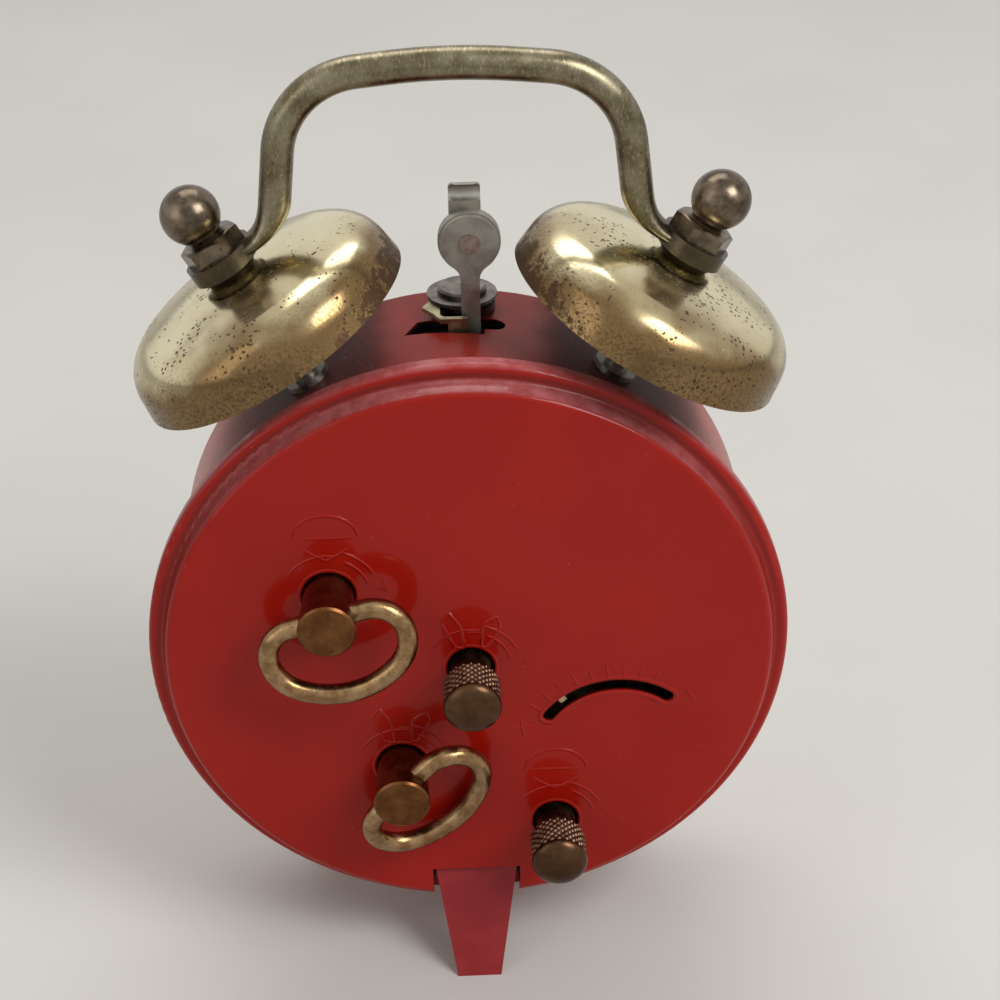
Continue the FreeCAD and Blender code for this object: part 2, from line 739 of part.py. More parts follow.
def bell(side):
    """Spun brass bell with a steep wall, round shoulder and low crown."""
    rim, wall, middle, top, crown_r = bell_arcs(0)
    seat = (BELL_SEAT_R, BELL_SEAT)
    outline = [rim, wall, (on_arc(middle, wall, top, 0.5), top)]
    outline += [(on_arc(CROWN_CENTRE, top, seat, 0.5), seat)]
    rim, wall, middle, top, crown_r = bell_arcs(BELL_T)
    hole = POST_R + RUN
    flat = CROWN_CENTRE[1] + sqrt(crown_r**2 - BELL_SEAT_R**2)
    outline += [(hole, BELL_SEAT), (hole, flat), (BELL_SEAT_R, flat), top]
    outline += [on_arc(middle, top, wall, k / BELL_INNER_STEPS) for k in range(1, BELL_INNER_STEPS)]
    shell = turned_up(outline + [wall, rim])
    shell.translate(V(0, 0, BELL_RIM))
    return radial(shell, side * POST_TILT, POST_DEPTH)


def bell_post(side):
    """Threaded post with a flange on the case and a collar that carries the bell's crown."""
    seat = CASE_R + POST_FLANGE_T
    collar = BELL_RIM + POST_COLLAR_RISE
    crown = SPACER_FROM - BELL_T - RUN
    foot = LUG_TOP - PLATE_T - POST_NUT_T - POST_TAIL
    slim = POST_R
    thick = POST_BODY_R
    post = turned_up([(0, foot), (slim, foot), (slim, CASE_R), (thick, CASE_R), (thick, seat), (slim, seat),
                      (slim, collar), (thick, collar), (thick, crown), (slim, crown), (slim, POST_TOP),
                      (0, POST_TOP)])
    return radial(post, side * POST_TILT, POST_DEPTH)


def post_nut(side):
    """Hexagon nut under the plate's lug."""
    base = LUG_TOP - PLATE_T - POST_NUT_T
    nut = hex_bar(POST_NUT_W, POST_NUT_T).cut(upright(POST_R, -1, POST_NUT_T + 1))
    nut.translate(V(0, 0, base))
    return radial(nut, side * POST_TILT, POST_DEPTH)


def bell_spacer(side):
    """Round nut between the bell and the handle's eye, narrower at the bell."""
    hole = POST_R + RUN
    top = EYE_FROM
    spacer = turned_up([(hole, SPACER_FROM), (SPACER_FOOT_R, SPACER_FROM), (SPACER_R, top - EDGE_CHAMFER),
                        (SPACER_R - EDGE_CHAMFER, top), (hole, top)])
    return radial(spacer, side * POST_TILT, POST_DEPTH)


def finial(side):
    """Ball nut: chamfered hexagon foot, short neck and ball."""
    top = FINIAL_FROM + FINIAL_BASE_T
    corner = FINIAL_BASE_W / sqrt(3)
    foot = hex_bar(FINIAL_BASE_W, FINIAL_BASE_T)
    foot.translate(V(0, 0, FINIAL_FROM))
    cone = turned_up([(0, FINIAL_FROM), (corner + RUN, FINIAL_FROM), (corner + RUN, top - FINIAL_CHAMFER),
                      (corner - FINIAL_CHAMFER_W, top), (0, top)])
    seat = BALL_REACH - sqrt(BALL_R**2 - FINIAL_NECK_R**2)
    flare = FINIAL_NECK_R + FINIAL_FLARE
    knob = turned_up([(0, FINIAL_FROM), (flare, FINIAL_FROM), (flare, top), (FINIAL_NECK_R, seat),
                      ((BALL_R, BALL_REACH), (0, BALL_REACH + BALL_R))])
    piece = foot.common(cone).fuse(knob)
    piece = piece.cut(upright(POST_R, CASE_R, POST_TOP))
    return radial(piece, side * POST_TILT, POST_DEPTH)


def handle():
    """Bent wire bow whose ends sweep out and flatten into eyes on the two posts."""
    eye = (EYE_MIDDLE * sin(radians(POST_TILT)), EYE_MIDDLE * cos(radians(POST_TILT)))
    knee = (eye[0] - HANDLE_KNEE[0], eye[1] + HANDLE_KNEE[1])
    corner = (eye[0] - HANDLE_CORNER[0], eye[1] + HANDLE_CORNER[1])
    places = knee_places(eye, knee, corner)
    end = places[-1][0]
    corners = [end, corner, (0.0, eye[1] + HANDLE_TOP), (-corner[0], corner[1]), (-end[0], end[1])]
    bends = [HANDLE_CORNER_BEND, HANDLE_TOP_BEND, HANDLE_CORNER_BEND]
    bow = tube_on(bent_path(corners, bends, lambda a, b: V(a, -POST_DEPTH, b)), HANDLE_WIRE_R)
    for side in (-1, 1):
        disc = radial(upright(EYE_R, EYE_FROM, FINIAL_FROM), side * POST_TILT, POST_DEPTH)
        bow = bow.fuse(disc).fuse(handle_neck(side, places))
    for side in (-1, 1):
        bow = bow.cut(radial(upright(POST_R + RUN, CASE_R, BALL_REACH), side * POST_TILT, POST_DEPTH))
    return bow


def knee_places(eye, knee, corner):
    """Centres and directions along the handle's bend, from the finial's foot to the leg."""
    into = ((knee[0] - eye[0]) / apart(eye, knee), (knee[1] - eye[1]) / apart(eye, knee))
    out = ((corner[0] - knee[0]) / apart(knee, corner), (corner[1] - knee[1]) / apart(knee, corner))
    turn = acos(into[0] * out[0] + into[1] * out[1])
    cut = apart(eye, knee) - FINIAL_BASE_W / 2
    bend = cut / tan(turn / 2)
    begin = beside(knee, into, -cut, 0)
    places = []
    for k in range(HANDLE_OVALS + 1):
        swept = turn * k / HANDLE_OVALS
        at = beside(begin, into, bend * sin(swept), -bend * (1 - cos(swept)))
        places.append((at, beside((0, 0), into, cos(swept), -sin(swept))))
    return places


def handle_neck(side, places):
    """Bend of the handle, flat in the eye and round where the leg begins."""
    across = V(0, 1, 0)
    sections = []
    for k, (at, along) in enumerate(places[:-1]):
        share = k / HANDLE_OVALS
        share = share**2 * (3 - 2 * share)
        wide = EYE_R * EYE_NECK_SHARE * (1 - share) + HANDLE_WIRE_R * share
        thick = (EYE_T / 2 - RUN) * (1 - share) + HANDLE_WIRE_R * share
        centre = V(side * at[0], -POST_DEPTH, at[1])
        up = V(side * along[0], 0, along[1]).cross(across)
        oval = Part.Ellipse(centre + across * wide, centre + up * thick, centre)
        sections.append(Part.Wire([oval.toShape()]))
    at, along = places[-1]
    centre = V(side * at[0], -POST_DEPTH, at[1])
    up = V(side * along[0], 0, along[1]).cross(across) * HANDLE_WIRE_R
    across = across * HANDLE_WIRE_R
    sections.append(Part.Wire([Part.Circle(centre + across, centre + up, centre - across).toShape()]))
    return Part.makeLoft(sections, True)


def key_barrel(centre, turn):
    """Slightly flared key with a cross hole for its loop and a bore for the arbor."""
    end = KEY_END
    barrel = turned([(0, KEY_FOOT), (KEY_ROOT_R, KEY_FOOT), (KEY_ROOT_R, COVER_IN),
                     (KEY_R, end - KEY_CHAMFER), (KEY_R - KEY_CHAMFER, end), (0, end)], centre)
    barrel = barrel.cut(rod(KEY_ARBOR_R, KEY_FOOT - 1, KNOB_START + KEY_SEAT, centre))
    along = V(cos(radians(turn)), 0, -sin(radians(turn)))
    start = V(centre[0], LOOP_OUT, centre[1]) - along * KEY_R * 2
    return barrel.cut(Part.makeCylinder(LOOP_WIRE_R + RUN, KEY_R * 4, start, along))


def key_loop(centre, turn, fold):
    """Oval wire loop with its two ends seated in the barrel."""
    along = V(cos(radians(turn)), 0, -sin(radians(turn)))
    down = V(-sin(radians(turn)), 0, -cos(radians(turn)))
    hang = down * cos(radians(fold)) + V(0, 1, 0) * sin(radians(fold))
    origin = V(centre[0], LOOP_OUT, centre[1])
    place = lambda a, b: origin + along * a + hang * b
    straight = LOOP_HALF_W - LOOP_CORNER_R
    drop = LOOP_REACH - LOOP_CORNER_R
    side = LOOP_SIDE_R
    big = ((LOOP_HALF_W - side)**2 + drop**2 - side**2) / (2 * (drop - side))
    low_centre = LOOP_REACH - big
    gap = big - side
    unit = ((LOOP_HALF_W - side) / gap, (LOOP_CORNER_R - low_centre) / gap)
    join = (big * unit[0], low_centre + big * unit[1])
    bisect = (1 + unit[0], unit[1])
    size = hypot(*bisect)
    turn_mid = (LOOP_HALF_W - side + side * bisect[0] / size, LOOP_CORNER_R + side * bisect[1] / size)
    corner_mid = (straight + LOOP_CORNER_R * sin(pi / 4), LOOP_CORNER_R * (1 - cos(pi / 4)))
    half = [(LOOP_SEAT, 0), (straight, 0), corner_mid, (LOOP_HALF_W, LOOP_CORNER_R), turn_mid, join]
    right = [place(a, b) for a, b in half]
    left = [place(-a, b) for a, b in half]
    edges = [Part.LineSegment(right[0], right[1]).toShape(),
             Part.Arc(right[1], right[2], right[3]).toShape(),
             Part.Arc(right[3], right[4], right[5]).toShape(),
             Part.Arc(right[5], place(0, LOOP_REACH), left[5]).toShape(),
             Part.Arc(left[5], left[4], left[3]).toShape(),
             Part.Arc(left[3], left[2], left[1]).toShape(),
             Part.LineSegment(left[1], left[0]).toShape()]
    return tube_on(Part.Wire(edges), LOOP_WIRE_R)


def set_knob(centre, arbor_r):
    """Knurled knob with a low dome and a thinner neck into the case."""
    start = KNOB_START
    knurl_end = start + KNURL_L
    dome_r = (KNOB_R**2 + KNOB_DOME**2) / (2 * KNOB_DOME)
    dome = (0.0, knurl_end + KNOB_DOME - dome_r)
    core_r = KNOB_R - KNOB_UNDERCUT
    core = turned([(0, KNOB_NECK_FROM), (KNOB_NECK_R, KNOB_NECK_FROM), (KNOB_NECK_R, start + KNOB_STEP),
                   (core_r, start + KNOB_STEP), (core_r, knurl_end - KNOB_TAPER_L), (KNOB_R, knurl_end),
                   (on_arc(dome, (KNOB_R, knurl_end), (0, knurl_end + KNOB_DOME), 0.5),
                    (0, knurl_end + KNOB_DOME))], centre)
    step = 360.0 / KNURL_COUNT
    points = []
    for k in range(KNURL_COUNT):
        points.append(polar(KNOB_R, k * step, centre))
        points.append(polar(KNOB_R - KNURL_DEEP, (k + 0.5) * step, centre))
    knob = core.fuse(slab(points, start, knurl_end))
    return knob.cut(rod(arbor_r, KNOB_NECK_FROM - 1, start + KNOB_SEAT, centre))


def hammer_stem():
    """Flat stem with a round head, cut from one strip."""
    x, z = HAMMER_PIVOT[0], HEAD_Z
    half = STEM_W / 2
    bend = half + HEAD_FLARE_R
    flare_z = z - sqrt((HEAD_R + HEAD_FLARE_R)**2 - bend**2)
    share = HEAD_R / (HEAD_R + HEAD_FLARE_R)
    touch = (bend * share, z - (z - flare_z) * share)
    flare_turn = radians(HEAD_FLARE_TURN)
    flare_x = bend - HEAD_FLARE_R * cos(flare_turn)
    flare_mid_z = flare_z + HEAD_FLARE_R * sin(flare_turn)
    foot = HAMMER_PIVOT[1] - STEM_TAIL
    points = [(x + half, foot), (x + half, flare_z), ((x + flare_x, flare_mid_z), (x + touch[0], touch[1])),
              ((x, z + HEAD_R), (x - touch[0], touch[1])),
              ((x - flare_x, flare_mid_z), (x - half, flare_z)), (x - half, foot)]
    rear = -HAMMER_DEPTH
    stem = slab(points, rear, rear - STEM_T)
    return bored(bored(stem, RIVET_R, (x, z)), ARBOR_R, HAMMER_PIVOT)


def hammer_weight():
    """Round weight behind the stem's head."""
    rear = -HAMMER_DEPTH - STEM_T
    return ring(WEIGHT_R, RIVET_R, rear, rear - WEIGHT_T, (HAMMER_PIVOT[0], HEAD_Z))


def hammer_tab():
    """Backing strip on the weight that ends in a bowed finger tab with round corners."""
    from_x = HAMMER_X + TAB_SHIFT - TAB_W / 2
    to_x = from_x + TAB_W
    rear = -HAMMER_DEPTH - STEM_T - WEIGHT_T
    front = rear - TAB_T
    low = HEAD_Z - RIVET_R - TAB_TAIL
    knee = HEAD_Z + WEIGHT_R + TAB_LIFT
    top = knee + TAB_RISE
    middle = (knee + top) / 2
    over = top + TAB_T
    edges = outline_edges([(rear, low), (rear, knee), ((rear - TAB_BOW, middle), (rear + TAB_CURL, top)),
                           (rear + TAB_CURL, over), (front + TAB_CURL, over), (front + TAB_CURL, top),
                           ((front - TAB_BOW, middle), (front, knee)), (front, low)],
                          lambda a, b: V(from_x, a, b))
    strip = Part.Face(Part.Wire(edges)).extrude(V(TAB_W, 0, 0))
    round_r = TAB_CORNER_R
    inset = round_r * CORNER_MID
    face = slab([(from_x, low), (to_x, low), (to_x, top - round_r),
                 ((to_x - inset, top - inset), (to_x - round_r, top)), (from_x + round_r, top),
                 ((from_x + inset, top - inset), (from_x, top - round_r))], -CASE_DEPTH, 0)
    return bored(strip.common(face), RIVET_R, (HAMMER_X, HEAD_Z))


def hammer_rivet():
    """Rivet through stem, weight and tab."""
    rear = -HAMMER_DEPTH + RIVET_PROUD
    front = -HAMMER_DEPTH - STEM_T - WEIGHT_T - TAB_T - RIVET_PROUD
    return rod(RIVET_R, rear, front, (HAMMER_PIVOT[0], HEAD_Z))


def hammer_arbor():
    """Arbor between the plates with the stem's collet and two verge pins."""
    body = arbor(HAMMER_PIVOT).fuse(rod(COLLET_R, COLLET_L - HAMMER_DEPTH, -HAMMER_DEPTH, HAMMER_PIVOT))
    aim = atan2(ALARM_ESCAPE[1] - HAMMER_PIVOT[1], ALARM_ESCAPE[0] - HAMMER_PIVOT[0]) * 180 / pi
    low = VERGE_ARM_Y
    for side in (-1, 1):
        unit = polar(1, aim + side * VERGE_SPREAD)
        pin = beside(HAMMER_PIVOT, unit, VERGE_REACH, 0)
        half = VERGE_ARM_W
        corners = [beside(HAMMER_PIVOT, unit, 0, half), beside(pin, unit, 0, half),
                   beside(pin, unit, 0, -half), beside(HAMMER_PIVOT, unit, 0, -half)]
        body = body.fuse(slab(corners, low, low + VERGE_ARM_T))
        body = body.fuse(rod(VERGE_PIN_R, low, low + VERGE_PIN_L, pin))
    return body


def stop_stack():
    """Boss, washer and rivet that carry the stop lever."""
    x = STOP_PIVOT_X
    y = -STOP_PIVOT_DEPTH
    boss_top = CASE_R + STOP_BOSS_T
    plate_top = boss_top + 2 * RUN + STOP_PLATE_T
    washer_top = plate_top + STOP_WASHER_T
    bore = STOP_RIVET_R
    boss = turned_up([(bore, CASE_R), (STOP_BOSS_R, CASE_R), (STOP_BOSS_R, boss_top), (bore, boss_top)])
    washer = turned_up([(bore, plate_top), (STOP_WASHER_R, plate_top), (STOP_WASHER_R, washer_top),
                        (bore, washer_top)])
    inside = CLINCH_TOP
    head_top = washer_top + STOP_HEAD_T
    edge = STOP_HEAD_ROUND
    rivet = turned_up([(0, inside - CLINCH_T), (STOP_CLINCH_R, inside - CLINCH_T), (STOP_CLINCH_R, inside),
                       (bore, inside), (bore, washer_top), (STOP_HEAD_R, washer_top),
                       (STOP_HEAD_R, head_top - edge), (STOP_HEAD_R - edge, head_top), (0, head_top)])
    for piece in (boss, washer, rivet):
        piece.translate(V(x, y, 0))
    return boss, washer, rivet


def stop_lever():
    """Hooked brass plate on the pivot, with a tab bent down into the slot."""
    low = CASE_R + STOP_BOSS_T + RUN
    high = low + STOP_PLATE_T
    x0, d0 = STOP_PIVOT_X, STOP_PIVOT_DEPTH
    arm_rear = HAMMER_DEPTH - STOP_STEM_GAP - STOP_ARM_W
    arm_front = arm_rear + STOP_ARM_W
    ex, ed = STOP_ELBOW[0], HAMMER_DEPTH + STOP_ELBOW[1]
    nx, nd = STOP_NOTCH[0], HAMMER_DEPTH + STOP_NOTCH[1]
    tab_from, tab_to = STOP_TAB_X
    barb_x, barb_d = STOP_BARB
    round_r = STOP_NOTCH_R
    inset = round_r * CORNER_MID
    hook = tray([(x0 + STOP_HUB_R, d0), (ex, ed), (ex - barb_x, ed - barb_d), (nx, arm_rear),
                 (tab_from, arm_rear), (tab_from, arm_front), (nx - round_r, arm_front),
                 ((nx - inset, arm_front + inset), (nx, arm_front + round_r)), (nx, nd), (x0, d0)],
                low, high)
    hub = Part.makeCylinder(STOP_HUB_R, STOP_PLATE_T, V(x0, -d0, low))
    tab = block(tab_from, tab_to, -arm_rear, -arm_rear - STOP_PLATE_T, high - STOP_TAB_DEEP, high)
    lever = hook.fuse(hub).fuse(tab)
    return lever.cut(Part.makeCylinder(STOP_RIVET_R + RUN, CASE_R, V(x0, -d0, low - CASE_R / 2)))


def front_foot(side):
    """Turned foot riveted through the drum, flat where it stands."""
    ground = GROUND_DROP / cos(radians(FRONT_FOOT_ANGLE)) + FRONT_FOOT_BEAD_R
    bead = ground - FRONT_FOOT_BEAD_R - FRONT_FOOT_BEAD_L
    neck_end = bead - FRONT_FOOT_FLARE_L
    clinch = CLINCH_TOP
    foot = turned_up([(0, clinch - CLINCH_T), (FOOT_CLINCH_R, clinch - CLINCH_T), (FOOT_CLINCH_R, clinch),
                      (FOOT_STUD_R, clinch), (FOOT_STUD_R, CASE_R), (FRONT_FOOT_COLLAR_R, CASE_R),
                      (FRONT_FOOT_COLLAR_R, CASE_R + FRONT_FOOT_COLLAR_T),
                      (FRONT_FOOT_NECK_R, CASE_R + 2 * FRONT_FOOT_COLLAR_T), (FRONT_FOOT_NECK_R, neck_end),
                      (FRONT_FOOT_BEAD_R, bead), (FRONT_FOOT_BEAD_R, ground), (0, ground)])
    foot = radial(foot, 180 + side * FRONT_FOOT_ANGLE, FRONT_FOOT_DEPTH)
    reach = 2 * GROUND_DROP
    return foot.cut(block(-reach, reach, -reach, reach, -GROUND_DROP, -reach))


def rear_foot():
    """Tapered strip that comes out of the cover's notch and slopes to the ground."""
    inner = COVER_IN - REAR_FOOT_T
    half = REAR_FOOT_T / 2
    bend_z = -REAR_FOOT_BEND_Z
    start = (inner + half, -REAR_FOOT_TAIL)
    knee = (inner + half, bend_z)
    slope = (REAR_FOOT_OUT - half - knee[0]) / (GROUND_DROP - REAR_FOOT_BEND_Z)
    end = (REAR_FOOT_OUT - half + slope * half, -GROUND_DROP - half)
    path = bent_path([start, knee, end], [REAR_FOOT_BEND], lambda a, b: V(0, a, b))
    wide = REAR_FOOT_TOP_W
    section = Part.makePolygon([V(-wide, start[0] - half, start[1]), V(wide, start[0] - half, start[1]),
                                V(wide, start[0] + half, start[1]), V(-wide, start[0] + half, start[1]),
                                V(-wide, start[0] - half, start[1])])
    strip = path.makePipeShell([section], True, False)
    top = REAR_FOOT_TOP_W / 2
    low = REAR_FOOT_END_W / 2
    trim = slab([(-top, -REAR_FOOT_TAIL), (top, -REAR_FOOT_TAIL), (top, -FOOT_NOTCH_TOP),
                 (low, -GROUND_DROP), (-low, -GROUND_DROP), (-top, -FOOT_NOTCH_TOP)],
                -CASE_DEPTH, CASE_DEPTH)
    return strip.common(trim)


def arbor(centre, radius=ARBOR_R):
    """Plain arbor that turns in both plates."""
    reach = PLATE_T * PIVOT_SHARE
    return rod(radius, FRONT_PLATE_REAR - reach, BACK_PLATE_FRONT + reach, centre)


def train_places():
    """Arbor places of the going train, from the centre wheel on."""
    third = polar(THIRD_AT[1], THIRD_AT[0], CENTRE)
    fourth = polar(FOURTH_AT[1], FOURTH_AT[0], third)
    escape = polar(ESCAPE_AT[1], ESCAPE_AT[0], fourth)
    pallet = (escape[0] + (BALANCE[0] - escape[0]) * PALLET_SHARE,
              escape[1] + (BALANCE[1] - escape[1]) * PALLET_SHARE)
    return third, fourth, escape, pallet


def meshed_phase(place, follower, teeth, follower_teeth):
    """Phase that puts a gap of the follower opposite a tooth of the wheel it meets.

    The wheel itself stands at phase 0.
    """
    angle = atan2(follower[1] - place[1], follower[0] - place[0]) * 180 / pi
    past = angle * teeth / 360.0 % 1
    return angle + 180 + (0.5 + past) * 360.0 / follower_teeth


def mesh_radii(place_a, teeth_a, place_b, teeth_b):
    """Pitch radii of two wheels from their centre distance and tooth counts."""
    away = apart(place_a, place_b)
    return away * teeth_a / (teeth_a + teeth_b), away * teeth_b / (teeth_a + teeth_b)


def plates():
    """Back and front movement plates with their pivot holes."""
    third, fourth, escape, pallet = train_places()
    back = rod(BACK_PLATE_R, BACK_PLATE_REAR, BACK_PLATE_FRONT)
    front = rod(FRONT_PLATE_R, FRONT_PLATE_REAR, FRONT_PLATE_FRONT)
    for side in (-1, 1):
        lug = block(-LUG_W / 2, LUG_W / 2, POST_DEPTH - LUG_REAR, POST_DEPTH - FRONT_PLATE_DEPTH - PLATE_T,
                    LUG_TOP - PLATE_T, LUG_TOP)
        lug = lug.cut(upright(POST_R + RUN, CASE_R / 2, CASE_R))
        front = front.fuse(radial(lug, side * POST_TILT, POST_DEPTH))
    for place in (third, fourth, escape, pallet, BALANCE, ALARM_ESCAPE, HAMMER_PIVOT):
        back = bored(back, ARBOR_R + RUN, place)
        front = bored(front, ARBOR_R + RUN, place)
    for place, radius in ((CENTRE, CENTRE_ARBOR_R), (ALARM_SET, SET_ARBOR_R)):
        back = bored(back, radius + RUN, place)
        front = bored(front, radius + RUN, place)
    for place in (TIME_KEY, ALARM_KEY):
        back = bored(back, KEY_ARBOR_R + RUN, place)
        front = bored(front, ARBOR_R + RUN, place)
    for angle in PILLAR_ANGLES:
        back = bored(back, PILLAR_END_R, polar(PILLAR_RING, angle))
        front = bored(front, PILLAR_END_R, polar(PILLAR_RING, angle))
    minute_post = rod(ARBOR_R, FRONT_PLATE_FRONT, FRONT_PLATE_FRONT - MINUTE_POST_L, minute_place())
    return back, front.fuse(minute_post)


def pillars():
    """Four pillars between the plates, riveted in front and threaded behind."""
    solids = []
    for angle in PILLAR_ANGLES:
        end = BACK_PLATE_REAR + PILLAR_NUT_T
        solids.append(turned([(0, FRONT_PLATE_FRONT), (PILLAR_END_R, FRONT_PLATE_FRONT),
                              (PILLAR_END_R, FRONT_PLATE_REAR), (PILLAR_R, FRONT_PLATE_REAR),
                              (PILLAR_R, BACK_PLATE_FRONT), (PILLAR_END_R, BACK_PLATE_FRONT),
                              (PILLAR_END_R, end), (0, end)], polar(PILLAR_RING, angle)))
    return Part.makeCompound(solids)


def pillar_nuts():
    """Nuts that hold the back plate on its pillars."""
    solids = []
    for angle in PILLAR_ANGLES:
        x, z = polar(PILLAR_RING, angle)
        nut = hex_bar(PILLAR_NUT_W, PILLAR_NUT_T)
        nut.rotate(V(0, 0, 0), V(1, 0, 0), -90)
        nut.translate(V(x, BACK_PLATE_REAR, z))
        solids.append(bored(nut, PILLAR_END_R, (x, z)))
    return Part.makeCompound(solids)


def winding(name, centre, turn, fold, teeth, pitch_r, wheel_front, key):
    """Key, loop, winding arbor, great wheel with its click, and mainspring of one train."""
    add(name + "_key", key_barrel(centre, turn))
    add(name + "_key_loop", key_loop(centre, turn, fold))
    wheel_rear = wheel_front + WHEEL_T
    ratchet_front = wheel_rear + RUN
    ratchet_rear = ratchet_front + RATCHET_T
    low = FRONT_PLATE_REAR
    shaft = rod(KEY_ARBOR_R, low + RUN, key, centre)
    shaft = shaft.fuse(rod(ARBOR_R, low - PLATE_T * PIVOT_SHARE, low + RUN, centre))
    shaft = shaft.fuse(ratchet(RATCHET_TEETH, RATCHET_R, RATCHET_DEEP, centre, ratchet_front, ratchet_rear))
    add(name + "_winding_arbor", shaft)
    wheel = bored(gear(teeth, pitch_r, centre, wheel_front, wheel_rear), KEY_ARBOR_R + RUN, centre)
    nose = centre[0] + RATCHET_R + 2 * RUN
    click = slab([(nose + a, centre[1] + b) for a, b in CLICK_POINTS], wheel_rear, wheel_rear + CLICK_T)
    add(name + "_great_wheel", wheel.fuse(click))
    spring = spiral(KEY_ARBOR_R + 2 * RUN, MAINSPRING_R, MAINSPRING_TURNS, MAINSPRING_T, centre,
                    ratchet_rear + MAINSPRING_GAP, MAINSPRING_REAR)
    add(name + "_mainspring", spring)


def train_arbor(centre, wheel_teeth, wheel_r, wheel_y, leaf_r, leaf_phase, leaf_y):
    """One train arbor carrying a wheel and a six-leaf pinion, at their middle planes."""
    half = WHEEL_T / 2
    body = arbor(centre).fuse(gear(wheel_teeth, wheel_r, centre, wheel_y - half, wheel_y + half))
    half = PINION_L / 2
    return body.fuse(pinion(LEAVES, leaf_r, centre, leaf_y - half, leaf_y + half, leaf_phase))


def going_train():
    """Great wheel, centre, third, fourth and escape wheels, pallets and balance."""
    third, fourth, escape, pallet = train_places()
    great_r, leaf_r = mesh_radii(TIME_KEY, TIME_GREAT_TEETH, CENTRE, CENTRE_LEAVES)
    winding("time", TIME_KEY, TIME_KEY_TURN, TIME_LOOP_FOLD, TIME_GREAT_TEETH, great_r,
            FRONT_PLATE_REAR + TIME_GREAT_GAP, KNOB_START + KEY_SEAT)
    phase = meshed_phase(TIME_KEY, CENTRE, TIME_GREAT_TEETH, CENTRE_LEAVES)
    wheel_r, third_leaf_r = mesh_radii(CENTRE, CENTRE_TEETH, third, LEAVES)
    leaf_y = FRONT_PLATE_REAR + TIME_GREAT_GAP + WHEEL_T / 2
    half = PINION_L / 2
    bore = CENTRE_ARBOR_R + RUN
    pipe = rod(bore + PIPE_WALL, FRONT_PLATE_REAR + RUN, BACK_PLATE_FRONT - RUN, CENTRE)
    pipe = pipe.fuse(pinion(CENTRE_LEAVES, leaf_r, CENTRE, leaf_y - half, leaf_y + half, phase))
    pipe = pipe.fuse(gear(CENTRE_TEETH, wheel_r, CENTRE, CENTRE_Y - WHEEL_T / 2, CENTRE_Y + WHEEL_T / 2))
    add("centre_wheel", bored(pipe, bore, CENTRE))
    third_r, fourth_leaf_r = mesh_radii(third, THIRD_TEETH, fourth, LEAVES)
    phase = meshed_phase(CENTRE, third, CENTRE_TEETH, LEAVES)
    add("third_wheel", train_arbor(third, THIRD_TEETH, third_r, THIRD_Y, third_leaf_r, phase, CENTRE_Y))
    fourth_r, escape_leaf_r = mesh_radii(fourth, FOURTH_TEETH, escape, LEAVES)
    phase = meshed_phase(third, fourth, THIRD_TEETH, LEAVES)
    add("fourth_wheel", train_arbor(fourth, FOURTH_TEETH, fourth_r, FOURTH_Y, fourth_leaf_r, phase, THIRD_Y))
    phase = meshed_phase(fourth, escape, FOURTH_TEETH, LEAVES)
    leaves = pinion(LEAVES, escape_leaf_r, escape, FOURTH_Y - half, FOURTH_Y + half, phase)
    half = ESCAPE_T / 2
    wheel = ratchet(ESCAPE_TEETH, ESCAPE_R, ESCAPE_DEEP, escape, ESCAPE_Y - half, ESCAPE_Y + half)
    add("escape_wheel", arbor(escape).fuse(wheel).fuse(leaves))
    add("pallet_lever", pallet_lever(escape, pallet))
    add("balance_wheel", balance_wheel())
    add("hairspring", spiral(HAIRSPRING_START_R, HAIRSPRING_R, HAIRSPRING_TURNS, HAIRSPRING_T, BALANCE,
                             BALANCE_Y + BALANCE_T, BALANCE_Y + BALANCE_T + HAIRSPRING_H))


def pallet_lever(escape, pallet):
    """Lever with two pallet pins astride the escape wheel and a fork to the balance."""
    away = apart(escape, pallet)
    unit = ((escape[0] - pallet[0]) / away, (escape[1] - pallet[1]) / away)
    half = PALLET_SPREAD / 2
    arm = half + PALLET_ARM_W
    reach, waist = PALLET_WAIST
    fork = PALLET_FORK_W
    corners = ((PALLET_ARM_L, -arm), (PALLET_ARM_L, arm), (0.0, arm), (-reach, waist), (-PALLET_FORK, fork),
               (-PALLET_FORK, -fork), (-reach, -waist), (0.0, -arm))
    outline = [beside(pallet, unit, a, b) for a, b in corners]
    rear = ESCAPE_Y - ESCAPE_T / 2 - PALLET_GAP
    body = arbor(pallet).fuse(slab(outline, rear - PALLET_T, rear))
    for aside in (-half, half):
        pin = beside(pallet, unit, PALLET_PIN_IN, aside)
        body = body.fuse(rod(PALLET_PIN_R, rear, ESCAPE_Y + ESCAPE_T, pin))
    return body


def balance_wheel():
    """Balance staff, rimmed wheel with a crossbar, and the roller."""
    half = BALANCE_T / 2
    rim = ring(BALANCE_R, BALANCE_R - BALANCE_RIM_W, BALANCE_Y - half, BALANCE_Y + half, BALANCE)
    x, z = BALANCE
    reach = BALANCE_R - BALANCE_RIM_W / 2
    bar = block(x - reach, x + reach, BALANCE_Y - half / 2, BALANCE_Y + half / 2, z - half, z + half)
    roller = rod(ROLLER_R, ROLLER_Y - half, ROLLER_Y, BALANCE)
    return arbor(BALANCE).fuse(rim).fuse(bar).fuse(roller)


